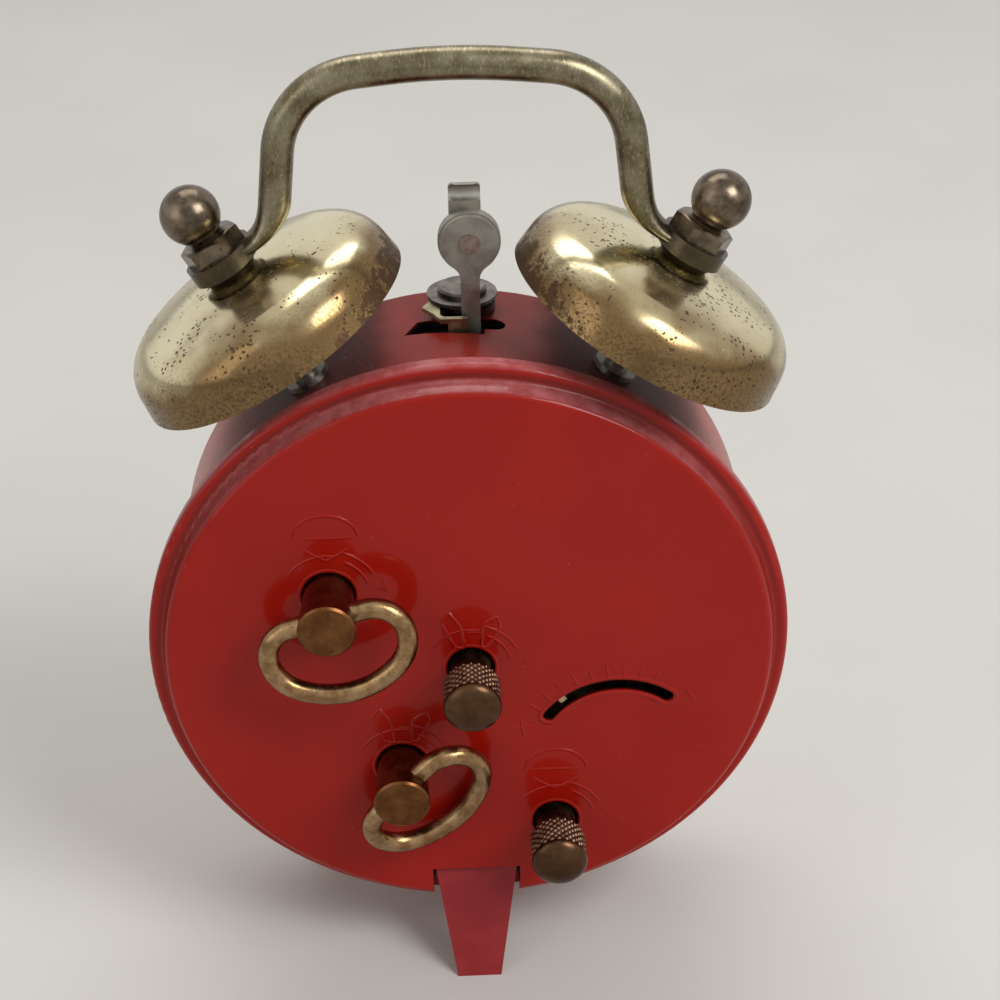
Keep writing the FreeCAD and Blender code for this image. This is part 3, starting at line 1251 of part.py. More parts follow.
def regulator():
    """Lever on the back plate with its tip bent up into the cover's slot."""
    front = BACK_PLATE_REAR + 2 * RUN
    rear = front + REG_T
    half = REG_TIP_W / 2
    x, z = BALANCE
    reach = x + REG_SLOT_R
    hub = ring(REG_HUB_R, REG_BOSS_R + RUN, front, rear, BALANCE)
    arm = block(x + REG_BOSS_R + REG_ARM_GAP, reach + REG_T / 2, front, rear, z - half, z + half)
    tip = block(reach - REG_T / 2, reach + REG_T / 2, front, COVER_RISE - REG_TIP_DEEP, z - half, z + half)
    return hub.fuse(spun(arm.fuse(tip), REG_REST, BALANCE))


def regulator_boss():
    """Headed boss on the back plate that the regulator turns on."""
    front = BACK_PLATE_REAR
    neck = front + REG_T + 3 * RUN
    head = neck + REG_HEAD_T
    bore = ARBOR_R + RUN
    return turned([(bore, front), (REG_BOSS_R, front), (REG_BOSS_R, neck), (REG_HEAD_R, neck),
                   (REG_HEAD_R, head), (bore, head)], BALANCE)


def minute_place():
    """Place of the minute wheel's post."""
    return polar(MINUTE_AT[1], MINUTE_AT[0], CENTRE)


def motion_work():
    """Centre arbor, cannon, minute wheel, hour wheel and the hands they carry."""
    top = FRONT_PLATE_FRONT
    minute = minute_place()
    hour_front = DIAL_FRONT - HAND_STEP
    minute_front = hour_front - HAND_STEP
    cannon_r, minute_r = mesh_radii(CENTRE, CANNON_TEETH, minute, MINUTE_TEETH)
    leaf_r, hour_r = mesh_radii(minute, MINUTE_LEAVES, CENTRE, HOUR_TEETH)
    cannon_rear = top - MOTION_GAP
    cannon_front = cannon_rear - CANNON_L
    shaft = rod(CENTRE_ARBOR_R, KNOB_START + KNOB_SEAT, minute_front - HAND_T / 2, CENTRE)
    add("centre_arbor", shaft.fuse(pinion(CANNON_TEETH, cannon_r, CENTRE, cannon_front, cannon_rear, 0.0)))
    phase = meshed_phase(CENTRE, minute, CANNON_TEETH, MINUTE_TEETH)
    wheel_rear = cannon_rear - MOTION_GAP
    wheel_front = wheel_rear - MOTION_T
    leaf_front = wheel_front - MINUTE_LEAF_L
    wheel = gear(MINUTE_TEETH, minute_r, minute, wheel_front, wheel_rear, phase)
    wheel = wheel.fuse(pinion(MINUTE_LEAVES, leaf_r, minute, leaf_front, wheel_front, 0.0))
    add("minute_wheel", bored(wheel, ARBOR_R + RUN, minute))
    phase = meshed_phase(minute, CENTRE, MINUTE_LEAVES, HOUR_TEETH)
    bore = CENTRE_ARBOR_R + RUN
    hour_pipe_r = bore + PIPE_WALL
    hour_rear = cannon_front - 2 * RUN
    pipe = rod(hour_pipe_r, hour_rear, hour_front, CENTRE)
    pipe = pipe.fuse(gear(HOUR_TEETH, hour_r, CENTRE, hour_rear - MOTION_T, hour_rear, phase))
    add("hour_wheel", bored(pipe, bore, CENTRE))
    add("hour_hand", hand(HOUR_HAND_L, HOUR_HAND_W, hour_pipe_r, hour_front, HOUR_HAND_AT))
    add("minute_hand", hand(MINUTE_HAND_L, MINUTE_HAND_W, CENTRE_ARBOR_R, minute_front, MINUTE_HAND_AT))
    alarm_setting(hour_pipe_r + RUN)


def alarm_setting(bore):
    """Alarm wheel behind the dial, its hand, and the knob's arbor that turns it."""
    alarm_r, set_r = mesh_radii(CENTRE, ALARM_TEETH, ALARM_SET, ALARM_SET_TEETH)
    rear = DIAL_REAR + ALARM_WHEEL_GAP + MOTION_T
    hand_front = DIAL_FRONT - MOTION_GAP - HAND_T
    pipe = rod(bore + PIPE_WALL, rear, hand_front, CENTRE)
    pipe = pipe.fuse(gear(ALARM_TEETH, alarm_r, CENTRE, rear - MOTION_T, rear))
    add("alarm_wheel", bored(pipe, bore, CENTRE))
    add("alarm_hand", hand(ALARM_HAND_L, ALARM_HAND_W, bore + PIPE_WALL, hand_front, ALARM_HAND_AT))
    phase = meshed_phase(CENTRE, ALARM_SET, ALARM_TEETH, ALARM_SET_TEETH)
    end = DIAL_REAR + MOTION_GAP
    shaft = rod(SET_ARBOR_R, KNOB_START + KNOB_SEAT, end, ALARM_SET)
    wheel = gear(ALARM_SET_TEETH, set_r, ALARM_SET, end, rear + MOTION_GAP, phase)
    add("alarm_set_arbor", shaft.fuse(wheel))


def hand(length, width, hub_r, front, at):
    """Tapered hand with a round hub, turned to its angle from +X."""
    x, z = CENTRE
    half = width / 2
    tail = hub_r + HAND_TAIL
    shoulder = length * HAND_SHOULDER
    blade = slab([(x - tail, z + half), (x - tail, z - half), (x + shoulder, z - half),
                  (x + length, z), (x + shoulder, z + half)], front, front + HAND_T)
    blade = blade.fuse(rod(hub_r + HAND_HUB_W, front, front + HAND_T, CENTRE))
    return spun(bored(blade, hub_r, CENTRE), at, CENTRE)


def alarm_train():
    """Alarm winding and the wheel that drives the hammer's verge."""
    great_r, leaf_r = mesh_radii(ALARM_KEY, ALARM_GREAT_TEETH, ALARM_ESCAPE, LEAVES)
    front = FRONT_PLATE_REAR + ALARM_GREAT_GAP
    winding("alarm", ALARM_KEY, ALARM_KEY_TURN, ALARM_LOOP_FOLD, ALARM_GREAT_TEETH, great_r, front,
            KNOB_START + KEY_SEAT)
    phase = meshed_phase(ALARM_KEY, ALARM_ESCAPE, ALARM_GREAT_TEETH, LEAVES)
    middle = front + WHEEL_T / 2
    leaves = pinion(LEAVES, leaf_r, ALARM_ESCAPE, middle - PINION_L / 2, middle + PINION_L / 2, phase)
    wheel = ratchet(ALARM_ESCAPE_TEETH, ALARM_ESCAPE_R, ALARM_ESCAPE_DEEP, ALARM_ESCAPE,
                    ALARM_ESCAPE_Y, ALARM_ESCAPE_Y + ESCAPE_T)
    add("alarm_escape_wheel", arbor(ALARM_ESCAPE).fuse(leaves).fuse(wheel))


def build():
    """Make every piece of the clock."""
    add("case_drum", case_drum())
    add("rear_cover", rear_cover())
    add("bezel", bezel())
    add("glass", glass())
    add("glass_ring", glass_ring())
    add("dial", dial())
    for side, word in ((-1, "left"), (1, "right")):
        add("bell_" + word, bell(side))
        add("finial_" + word, finial(side))
    add("bell_posts", both(bell_post))
    add("post_nuts", both(post_nut))
    add("bell_spacers", both(bell_spacer))
    add("handle", handle())
    add("hammer_stem", hammer_stem())
    add("hammer_weight", hammer_weight())
    add("hammer_tab", hammer_tab())
    add("hammer_rivet", hammer_rivet())
    add("hammer_arbor", hammer_arbor())
    boss, washer, rivet = stop_stack()
    add("stop_boss", boss)
    add("stop_washer", washer)
    add("stop_rivet", rivet)
    add("stop_lever", stop_lever())
    add("front_feet", both(front_foot))
    add("rear_foot", rear_foot())
    back, front = plates()
    add("back_plate", back)
    add("front_plate", front)
    add("pillars", pillars())
    add("pillar_nuts", pillar_nuts())
    add("hand_set_knob", set_knob(CENTRE, CENTRE_ARBOR_R))
    add("alarm_set_knob", set_knob(ALARM_SET, SET_ARBOR_R))
    add("regulator", regulator())
    add("regulator_boss", regulator_boss())
    going_train()
    motion_work()
    alarm_train()


def both(make):
    """The left and right copies of one piece, as separate solids."""
    return Part.makeCompound([make(-1), make(1)])


def write():
    """Stand the clock on z = 0 and write one file per piece."""
    os.makedirs("parts", exist_ok=True)
    for name, shape in NODES.items():
        placed = shape.copy()
        placed.translate(V(0, SHIFT_Y, GROUND_DROP))
        placed.exportStep("parts/" + name + ".step")


build()
write()
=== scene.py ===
"""Looks of the twin bell alarm clock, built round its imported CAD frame.

The row frame is in metres, +Y towards the rear cover and +Z up.  Sizes written
here are millimetres in that frame, and mm() turns them into metres.
"""

from math import cos, hypot, pi, radians, sin

import bmesh
import bpy
from mathutils import Matrix, Vector


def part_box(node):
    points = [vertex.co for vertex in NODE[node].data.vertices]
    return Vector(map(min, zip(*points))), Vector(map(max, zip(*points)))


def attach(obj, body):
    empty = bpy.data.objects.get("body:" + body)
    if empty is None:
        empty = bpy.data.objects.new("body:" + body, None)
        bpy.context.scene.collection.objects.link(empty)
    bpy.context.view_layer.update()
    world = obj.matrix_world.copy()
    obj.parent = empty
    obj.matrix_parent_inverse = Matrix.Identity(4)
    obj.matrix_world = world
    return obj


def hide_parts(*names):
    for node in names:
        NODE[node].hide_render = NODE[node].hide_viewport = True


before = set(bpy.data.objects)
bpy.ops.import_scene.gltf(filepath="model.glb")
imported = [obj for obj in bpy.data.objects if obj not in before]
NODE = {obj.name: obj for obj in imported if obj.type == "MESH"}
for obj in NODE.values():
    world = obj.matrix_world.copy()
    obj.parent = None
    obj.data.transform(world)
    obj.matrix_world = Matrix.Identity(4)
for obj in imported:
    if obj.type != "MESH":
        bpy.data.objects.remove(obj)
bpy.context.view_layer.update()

# Places of the CAD model
SHIFT_Y = 6.25
AXIS_Z = 37.8
AXIS = (0, 0, AXIS_Z)
ROUND_AXIS = (1, 0, 1)
CASE_R = 30.0
COVER_Y = SHIFT_Y + 2.9
DISC_EDGE = (28.0, 28.5)
COVE_IN = 30.2
COVE_OUT = 31.1
POST_TILT = 29.7
POST_DEPTH = 8.9
BELL_RIM = 36.15
EYE_AT = (22.29, 76.88)
HAND_SET = (0.0, -0.6)
ALARM_SET = (-8.4, -20.3)
TIME_KEY = (7.3, -12.4)
ALARM_KEY = (13.6, 8.5)
KEY_HOLE_R = 2.7
KNOB_HOLE_R = 2.45
BALANCE = (-14.7, -11.9)
SLOT_R = 8.57
SLOT_W = 1.25
SLOT_TURN = (36.0, 126.0)

# Dial and hands
DIAL_FRONT = -18.45
PRINT_RISE = 0.03
LUME_RISE = 0.02
MINUTE_HAND_AT = 60.0
HOUR_HAND_AT = 145.0
TRACK_IN = 23.7
TRACK_IN_AT_HOURS = 22.9
TRACK_OUT = 24.9
TRACK_W = 0.2
TRACK_W_AT_HOURS = 0.55
ALARM_RING = (9.7, 10.7)
ALARM_RING_W = 0.3
NUMBERS_R = 19.6
NUMBER_SIZE = 5.6
NUMBER_THICK = 0.01
LUME_WIDEST = 0.3

# Knurled knobs
KNOB_R = 2.84
KNOB_FROM = 5.9
KNOB_TOP = 10.8
KNOB_CAP = 1.35
KNOB_NECK_R = 2.0
KNOB_INNER_END = 0.3
KNURLS = 22
KNURL_DEEP = 0.26
KNURL_ROWS = 4.4
KNURL_SHARP = 1.35
KNURL_SIDES = 8
KNURL_STEPS = 44
KNOB_DOME_STEPS = 16
KNOB_SHOULDER = 0.35
KNOB_GRIP_EDGE = 0.12
KNOB_GRIP_LESS = 0.15
KNOB_NECK_EDGE = 0.1

# Marks pressed into the cover
RIDGE_HALF = 0.18
RIDGE_HIGH = 0.1
RIDGE_SINK = 0.03
CORNER_CUT = 0.2
CORNER_SHARE = 0.3
SHORTEST = 0.01
HOLE_LIP_HALF = 0.22
HOLE_LIP_HIGH = 0.07
HOLE_LIP_OUT = 0.16
SLOT_LIP = 0.28
SLOT_LIP_HIGH = 0.12
TICKS = 9
TICKS_FROM = 36.5
TICK_STEP = 9.5

# Camera of the photograph
CAMERA_AT = (1.681, 176.91, 155.048)
PITCH = 0.53127
YAW = 0.02914
ROLL = -0.01867
LENS = 73.92
SENSOR_W = 36
CLIP_START = 0.01

# Studio
FLOOR_HALF = 3.0
WORLD_LIGHT = 0.4
WORLD_SEEN = 0.85
LAMP_AIM = (0, 0, 0.04)


def mm(*values):
    """Millimetres to metres, as a vector when there are three of them."""
    if len(values) == 1:
        return values[0] / 1000
    return Vector([v / 1000 for v in values])


class Look:
    """A node material with one principled shader, whose parts are added one by one."""

    def __init__(self, name, colour=None, metallic=0.0, roughness=0.5):
        self.material = bpy.data.materials.new(name)
        self.material.use_nodes = True
        self.tree = self.material.node_tree
        self.shader = self.tree.nodes["Principled BSDF"]
        self.shader.inputs["Metallic"].default_value = metallic
        self.shader.inputs["Roughness"].default_value = roughness
        if colour:
            self.shader.inputs["Base Color"].default_value = (*colour, 1)
        place = self.add("ShaderNodeTexCoord")
        scale = self.add("ShaderNodeVectorMath", operation="SCALE")
        scale.inputs["Scale"].default_value = 1000
        self.link(place.outputs["Object"], scale.inputs[0])
        self.place = scale.outputs[0]

    def add(self, kind, **settings):
        """A new node with the settings given."""
        made = self.tree.nodes.new(kind)
        for key, value in settings.items():
            setattr(made, key, value)
        return made

    def link(self, source, target):
        """Join an output to an input."""
        self.tree.links.new(source, target)

    def feed(self, target, value):
        """Set an input to a number, or join it to an output."""
        if hasattr(value, "links"):
            self.link(value, target)
        else:
            target.default_value = value

    def squeezed(self, stretch):
        """The place in mm, scaled by a factor on each axis."""
        scale = self.add("ShaderNodeVectorMath", operation="MULTIPLY")
        scale.inputs[1].default_value = stretch
        self.link(self.place, scale.inputs[0])
        return scale.outputs[0]

    def noise(self, size, detail=3.0, rough=0.5, stretch=None):
        """Noise whose patches are about size mm wide."""
        made = self.add("ShaderNodeTexNoise")
        made.inputs["Scale"].default_value = 1 / size
        made.inputs["Detail"].default_value = detail
        made.inputs["Roughness"].default_value = rough
        self.link(self.squeezed(stretch) if stretch else self.place, made.inputs["Vector"])
        return made.outputs["Fac"]

    def cells(self, size, stretch=None, twist=0.0):
        """Distance to the nearest of points scattered about size mm apart."""
        made = self.add("ShaderNodeTexVoronoi")
        made.inputs["Scale"].default_value = 1 / size
        place = self.squeezed(stretch) if stretch else self.place
        if twist:
            bent = self.add("ShaderNodeTexNoise")
            bent.inputs["Scale"].default_value = 1 / size
            self.link(place, bent.inputs["Vector"])
            far = self.add("ShaderNodeVectorMath", operation="SCALE")
            far.inputs["Scale"].default_value = twist * size
            self.link(bent.outputs["Color"], far.inputs[0])
            both = self.add("ShaderNodeVectorMath", operation="ADD")
            self.link(place, both.inputs[0])
            self.link(far.outputs[0], both.inputs[1])
            place = both.outputs[0]
        self.link(place, made.inputs["Vector"])
        return made.outputs["Distance"]

    def span(self, value, low, high, to_low=0.0, to_high=1.0):
        """Move a value's range low..high to to_low..to_high, smoothly and clamped."""
        made = self.add("ShaderNodeMapRange", interpolation_type="SMOOTHSTEP")
        self.feed(made.inputs["Value"], value)
        made.inputs["From Min"].default_value = low
        made.inputs["From Max"].default_value = high
        made.inputs["To Min"].default_value = to_low
        made.inputs["To Max"].default_value = to_high
        return made.outputs["Result"]

    def math(self, operation, a, b=0.0):
        """One arithmetic operation on two values."""
        made = self.add("ShaderNodeMath", operation=operation)
        self.feed(made.inputs[0], a)
        self.feed(made.inputs[1], b)
        return made.outputs[0]

    def mix(self, share, a, b):
        """Blend colour a into colour b by share."""
        made = self.add("ShaderNodeMix", data_type="RGBA")
        self.feed(made.inputs["Factor"], share)
        for target, value in ((made.inputs[6], a), (made.inputs[7], b)):
            self.feed(target, (*value, 1) if isinstance(value, tuple) else value)
        return made.outputs[2]

    def along(self, origin, direction):
        """Distance in mm from a plane, along its direction."""
        gap = self.add("ShaderNodeVectorMath", operation="SUBTRACT")
        gap.inputs[1].default_value = origin
        self.link(self.place, gap.inputs[0])
        dot = self.add("ShaderNodeVectorMath", operation="DOT_PRODUCT")
        dot.inputs[1].default_value = direction
        self.link(gap.outputs[0], dot.inputs[0])
        return dot.outputs["Value"]

    def radius(self, centre, mask):
        """Distance in mm from a centre, counted on the axes of the mask."""
        gap = self.add("ShaderNodeVectorMath", operation="SUBTRACT")
        gap.inputs[1].default_value = centre
        self.link(self.place, gap.inputs[0])
        flat = self.add("ShaderNodeVectorMath", operation="MULTIPLY")
        flat.inputs[1].default_value = mask
        self.link(gap.outputs[0], flat.inputs[0])
        size = self.add("ShaderNodeVectorMath", operation="LENGTH")
        self.link(flat.outputs[0], size.inputs[0])
        return size.outputs["Value"]

    def facing_up(self):
        """How far the surface faces upwards, from 0 to 1."""
        made = self.add("ShaderNodeNewGeometry")
        parts = self.add("ShaderNodeSeparateXYZ")
        self.link(made.outputs["Normal"], parts.inputs[0])
        return self.span(parts.outputs["Z"], 0.25, 0.95)

    def colour(self, value):
        """Join the base colour."""
        self.link(value, self.shader.inputs["Base Color"])

    def rough(self, value):
        """Join the roughness."""
        self.link(value, self.shader.inputs["Roughness"])

    def bump(self, height, depth, strength):
        """Raise the surface by height times depth mm."""
        made = self.add("ShaderNodeBump")
        made.inputs["Strength"].default_value = strength
        made.inputs["Distance"].default_value = depth / 1000
        self.link(height, made.inputs["Height"])
        self.link(made.outputs[0], self.shader.inputs["Normal"])


def red_lacquer():
    """Even glossy red lacquer with rare specks and pin marks. The rim's cove is darker, partly dust
    and partly painted shade; upward faces of the rim are paler pink, partly dust and partly a
    painted highlight; the walls of the openings are painted near black as shade.
    """
    look = Look("red_lacquer")
    cloud = look.noise(14.0, detail=3, rough=0.5)
    base = look.mix(look.span(cloud, 0.3, 0.7), (0.3, 0.0048, 0.0012), (0.33, 0.0068, 0.0022))
    pits = look.span(look.cells(2.9), 0.0, 0.045, 1, 0)
    base = look.mix(pits, base, (0.07, 0.006, 0.005))
    specks = look.span(look.cells(2.3, stretch=(1.0, 0.9, 1.1)), 0.0, 0.04, 1, 0)
    base = look.mix(specks, base, (0.5, 0.2, 0.18))
    radius = look.radius(AXIS, ROUND_AXIS)
    inside = look.span(radius, COVE_IN - 0.25, COVE_IN, 0, 1)
    cove = look.math("MULTIPLY", inside, look.span(radius, COVE_OUT - 0.1, COVE_OUT + 0.35, 1, 0))
    high = look.span(look.along(AXIS, (0, 0, 1)), -12.0, 24.0, 0.15, 1.0)
    # Darker brownish band in the cove, more towards the top: partly dust, partly painted shade in
    # the recess.
    cove_dust_and_shade = look.math("MULTIPLY", cove, high)
    base = look.mix(look.math("MULTIPLY", cove_dust_and_shade, 0.5), base, (0.09, 0.014, 0.01))
    grain = look.span(look.noise(0.17, detail=2, rough=0.6), 0.66, 0.76, 0, 0.6)
    base = look.mix(look.math("MULTIPLY", grain, cove_dust_and_shade), base, (0.34, 0.17, 0.14))
    # Paler pink on upward faces of the rim: partly settled dust, partly a painted highlight.
    upward_dust_and_highlight = look.math("MULTIPLY", look.facing_up(), inside)
    powder_and_highlight = look.span(look.noise(1.6, detail=6, rough=0.7), 0.3, 0.65, 0.3, 0.75)
    base = look.mix(look.math("MULTIPLY", upward_dust_and_highlight, powder_and_highlight), base, (0.48, 0.15, 0.15))
    # Walls of the openings below the disc face are painted near black: painted shade inside the
    # holes.
    sunk = look.span(look.along((0, COVER_Y, 0), (0, 1, 0)), -0.3, -0.1, 1, 0)
    hole_wall_painted_shade = look.math("MULTIPLY", sunk, look.span(radius, *DISC_EDGE, 1, 0))
    base = look.mix(hole_wall_painted_shade, base, (0.012, 0.003, 0.002))
    look.colour(base)
    haze = look.noise(4.0, detail=5, rough=0.6)
    gloss = look.span(haze, 0.25, 0.75, 0.3, 0.4)
    look.rough(look.math("ADD", gloss, look.math("MULTIPLY", cove_dust_and_shade, 0.15)))
    look.shader.inputs["Specular IOR Level"].default_value = 0.1
    look.shader.inputs["Coat Weight"].default_value = 0.3
    look.shader.inputs["Coat Roughness"].default_value = 0.07
    look.bump(look.noise(6.0, detail=2), 0.05, 0.4)
    return look.material


def dusty_lacquer():
    """The same red, darker on the top of the case under the bells but for its middle: partly fine
    dust, partly painted shade cast by the bells. Its inside is painted near black as shade.
    """
    look = Look("dusty_lacquer")
    cloud = look.noise(9.0, detail=3, rough=0.5)
    base = look.mix(look.span(cloud, 0.35, 0.65), (0.27, 0.014, 0.008), (0.31, 0.02, 0.012))
    high = look.span(look.along(AXIS, (0, 0, 1)), 14.0, 25.0)
    side = look.math("ABSOLUTE", look.along((-0.5, 0, 0), (1, 0, 0)))
    drift = look.noise(5.0, detail=4, rough=0.6)
    side = look.math("ADD", side, look.math("MULTIPLY", drift, 3.0))
    side = look.span(side, 7.5, 11.5, 0.12, 1.0)
    fine = look.span(look.noise(0.35, detail=6, rough=0.7), 0.3, 0.62, 0.6, 1.0)
    # Darker top under the bells: partly dust, partly painted shade of the bells.
    dust_and_bell_shade = look.math("MULTIPLY", look.math("MULTIPLY", high, side), fine)
    base = look.mix(look.math("MULTIPLY", dust_and_bell_shade, 0.93), base, (0.045, 0.024, 0.02))
    crumb = look.span(look.noise(0.28, detail=2), 0.66, 0.74)
    crumb = look.math("MULTIPLY", crumb, look.math("MULTIPLY", high, side))
    base = look.mix(crumb, base, (0.2, 0.13, 0.11))
    # Inner surfaces of the drum are painted near black: painted shade inside the case.
    inside_painted_shade = look.span(look.radius(AXIS, ROUND_AXIS), CASE_R - 0.2, CASE_R - 0.03, 1, 0)
    base = look.mix(inside_painted_shade, base, (0.014, 0.009, 0.008))
    look.colour(base)
    look.rough(look.span(dust_and_bell_shade, 0.0, 0.8, 0.26, 0.55))
    look.shader.inputs["Specular IOR Level"].default_value = 0.1
    look.shader.inputs["Coat Weight"].default_value = 0.05
    look.shader.inputs["Coat Roughness"].default_value = 0.16
    look.bump(fine, 0.015, 0.4)
    return look.material


def foot_lacquer():
    """Duller pinkish red with dark scuffs, for the bent foot."""
    look = Look("foot_lacquer")
    cloud = look.noise(3.0, detail=5, rough=0.6)
    base = look.mix(look.span(cloud, 0.3, 0.7), (0.235, 0.013, 0.016), (0.285, 0.02, 0.024))
    scuff = look.span(look.noise(0.9, detail=5, rough=0.7), 0.66, 0.72, 0, 0.5)
    base = look.mix(scuff, base, (0.12, 0.02, 0.018))
    look.colour(base)
    look.rough(look.span(cloud, 0.3, 0.7, 0.36, 0.5))
    look.shader.inputs["Specular IOR Level"].default_value = 0.25
    look.bump(look.noise(0.4, detail=4), 0.015, 0.4)
    return look.material


def bell_brass(name, side):
    """Polished pale brass with dark specks and stains near the case. It is browner and darker
    towards the rim: partly tarnish, partly a painted reflection of a brown surface below.

    The side is 1 for the bell at +X and -1 for the other.
    """
    look = Look(name, metallic=1.0)
    tilt = radians(POST_TILT)
    up = (side * sin(tilt), 0, cos(tilt))
    rim = (side * BELL_RIM * sin(tilt), SHIFT_Y - POST_DEPTH, AXIS_Z + BELL_RIM * cos(tilt))
    height = look.along(rim, up)
    low = look.span(height, 0.8, 7.0, 1, 0)
    cloud = look.noise(8.0, detail=3, rough=0.5)
    base = look.mix(look.span(cloud, 0.3, 0.7), (0.6, 0.51, 0.3), (0.73, 0.66, 0.43))
    # Browner and darker towards the rim (drift and film): partly tarnish, partly a painted
    # reflection of a brown surface below.
    drift = look.math("ADD", look.noise(9.0, detail=3), look.math("MULTIPLY", low, 0.6))
    base = look.mix(look.span(drift, 0.52, 0.88, 0, 0.9), base, (0.17, 0.092, 0.03))
    film_and_reflection = look.math("MULTIPLY", look.span(look.noise(0.3, detail=4, rough=0.7), 0.44, 0.6), low)
    base = look.mix(look.math("MULTIPLY", film_and_reflection, 0.85), base, (0.12, 0.072, 0.034))
    edge = look.span(height, 0.0, 3.2, 1, 0)
    inward = look.along((side * 10.0, 0, 0), (-side, 0, 0))
    inward = look.math("MULTIPLY", look.span(inward, -3.5, 3.5), look.span(height, 2.0, 7.5, 1, 0))
    worn = look.math("ADD", look.math("MULTIPLY", edge, 0.1), look.math("MULTIPLY", inward, 0.17))
    brown = look.math("ADD", look.noise(2.2, detail=9, rough=0.75), worn)
    stain = look.span(brown, 0.7, 0.73, 0, 0.9)
    base = look.mix(stain, base, (0.085, 0.045, 0.026))
    crowd = look.span(look.noise(4.5, detail=3), 0.4, 0.62, 0.02, 0.3)
    ragged = look.math("MULTIPLY", look.noise(0.16, detail=4, rough=0.7), 0.3)
    near = look.math("SUBTRACT", look.math("ADD", look.cells(0.6, twist=0.9), ragged), crowd)
    dark = look.span(near, 0.12, 0.16, 0.9, 0)
    spots = look.math("ADD", look.cells(1.7, stretch=(1.0, 0.8, 1.1), twist=0.8), ragged)
    dark = look.math("MAXIMUM", dark, look.span(spots, 0.2, 0.23, 0.9, 0))
    base = look.mix(dark, base, (0.075, 0.042, 0.024))
    scratch = look.span(look.noise(0.35, detail=2, stretch=(1.0, 0.4, 0.12)), 0.7, 0.74, 0, 0.4)
    base = look.mix(scratch, base, (0.14, 0.09, 0.05))
    look.colour(base)
    dull = look.math("MAXIMUM", look.math("MULTIPLY", stain, 0.3), look.math("MULTIPLY", dark, 0.4))
    haze = look.span(look.noise(2.5, detail=5, rough=0.6), 0.3, 0.7, 0.13, 0.22)
    look.rough(look.math("ADD", dull, look.math("ADD", haze, look.math("MULTIPLY", film_and_reflection, 0.2))))
    waves = look.math("MULTIPLY", look.noise(5.0), 0.5)
    look.bump(look.math("SUBTRACT", waves, look.math("MAXIMUM", dark, stain)), 0.015, 0.6)
    return look.material


def bow_brass():
    """Tarnished olive brass with fine scratches across the wire and dark eyes."""
    look = Look("bow_brass", metallic=1.0)
    cloud = look.noise(3.5, detail=6, rough=0.65)
    base = look.mix(look.span(cloud, 0.35, 0.65), (0.135, 0.11, 0.064), (0.24, 0.21, 0.142))
    lines = look.noise(0.22, detail=3, stretch=(1.0, 0.16, 0.5))
    base = look.mix(look.span(lines, 0.52, 0.72, 0, 0.5), base, (0.42, 0.36, 0.24))
    spots = look.span(look.noise(0.7, detail=6, rough=0.7), 0.6, 0.7, 0, 0.8)
    base = look.mix(spots, base, (0.08, 0.055, 0.03))
    for side in (-1, 1):
        near = look.radius((side * EYE_AT[0], SHIFT_Y - POST_DEPTH, EYE_AT[1]), (1, 1, 1))
        near = look.math("ADD", near, look.math("MULTIPLY", cloud, 2.0))
        base = look.mix(look.span(near, 4.2, 6.2, 0.85, 0), base, (0.06, 0.045, 0.028))
    look.colour(base)
    look.rough(look.span(cloud, 0.3, 0.7, 0.24, 0.4))
    look.bump(lines, 0.02, 0.5)
    return look.material


def tarnished(name, dark, pale, spot, low=0.24, high=0.42, size=1.6, share=0.6):
    """Worn metal of two tones with darker spots."""
    look = Look(name, metallic=1.0)
    cloud = look.noise(size, detail=6, rough=0.65)
    base = look.mix(look.span(cloud, 0.35, 0.65), dark, pale)
    spots = look.span(look.noise(size * 0.28, detail=5, rough=0.7), share, share + 0.1)
    base = look.mix(spots, base, spot)
    look.colour(base)
    look.rough(look.span(cloud, 0.3, 0.7, low, high))
    look.bump(look.noise(size * 0.2, detail=4), 0.015, 0.5)
    return look.material


def matt(name, colour, shade, roughness=0.5):
    """Plain lacquer with a faint mottle."""
    look = Look(name, roughness=roughness)
    cloud = look.noise(2.0, detail=5, rough=0.6)
    look.colour(look.mix(look.span(cloud, 0.3, 0.7), colour, shade))
    look.bump(look.noise(0.3, detail=3), 0.01, 0.4)
    return look.material


def clear_glass():
    """Window glass with a faint waviness."""
    look = Look("clear_glass", colour=(0.97, 0.985, 0.98), roughness=0.03)
    look.shader.inputs["Transmission Weight"].default_value = 1.0
    look.shader.inputs["IOR"].default_value = 1.46
    look.bump(look.noise(9.0, detail=1), 0.02, 0.2)
    return look.material


def dress(material, *names):
    """Give CAD nodes a material."""
    for name in names:
        slots = NODE[name].material_slots
        if not slots:
            NODE[name].data.materials.append(material)
        for slot in slots:
            slot.material = material


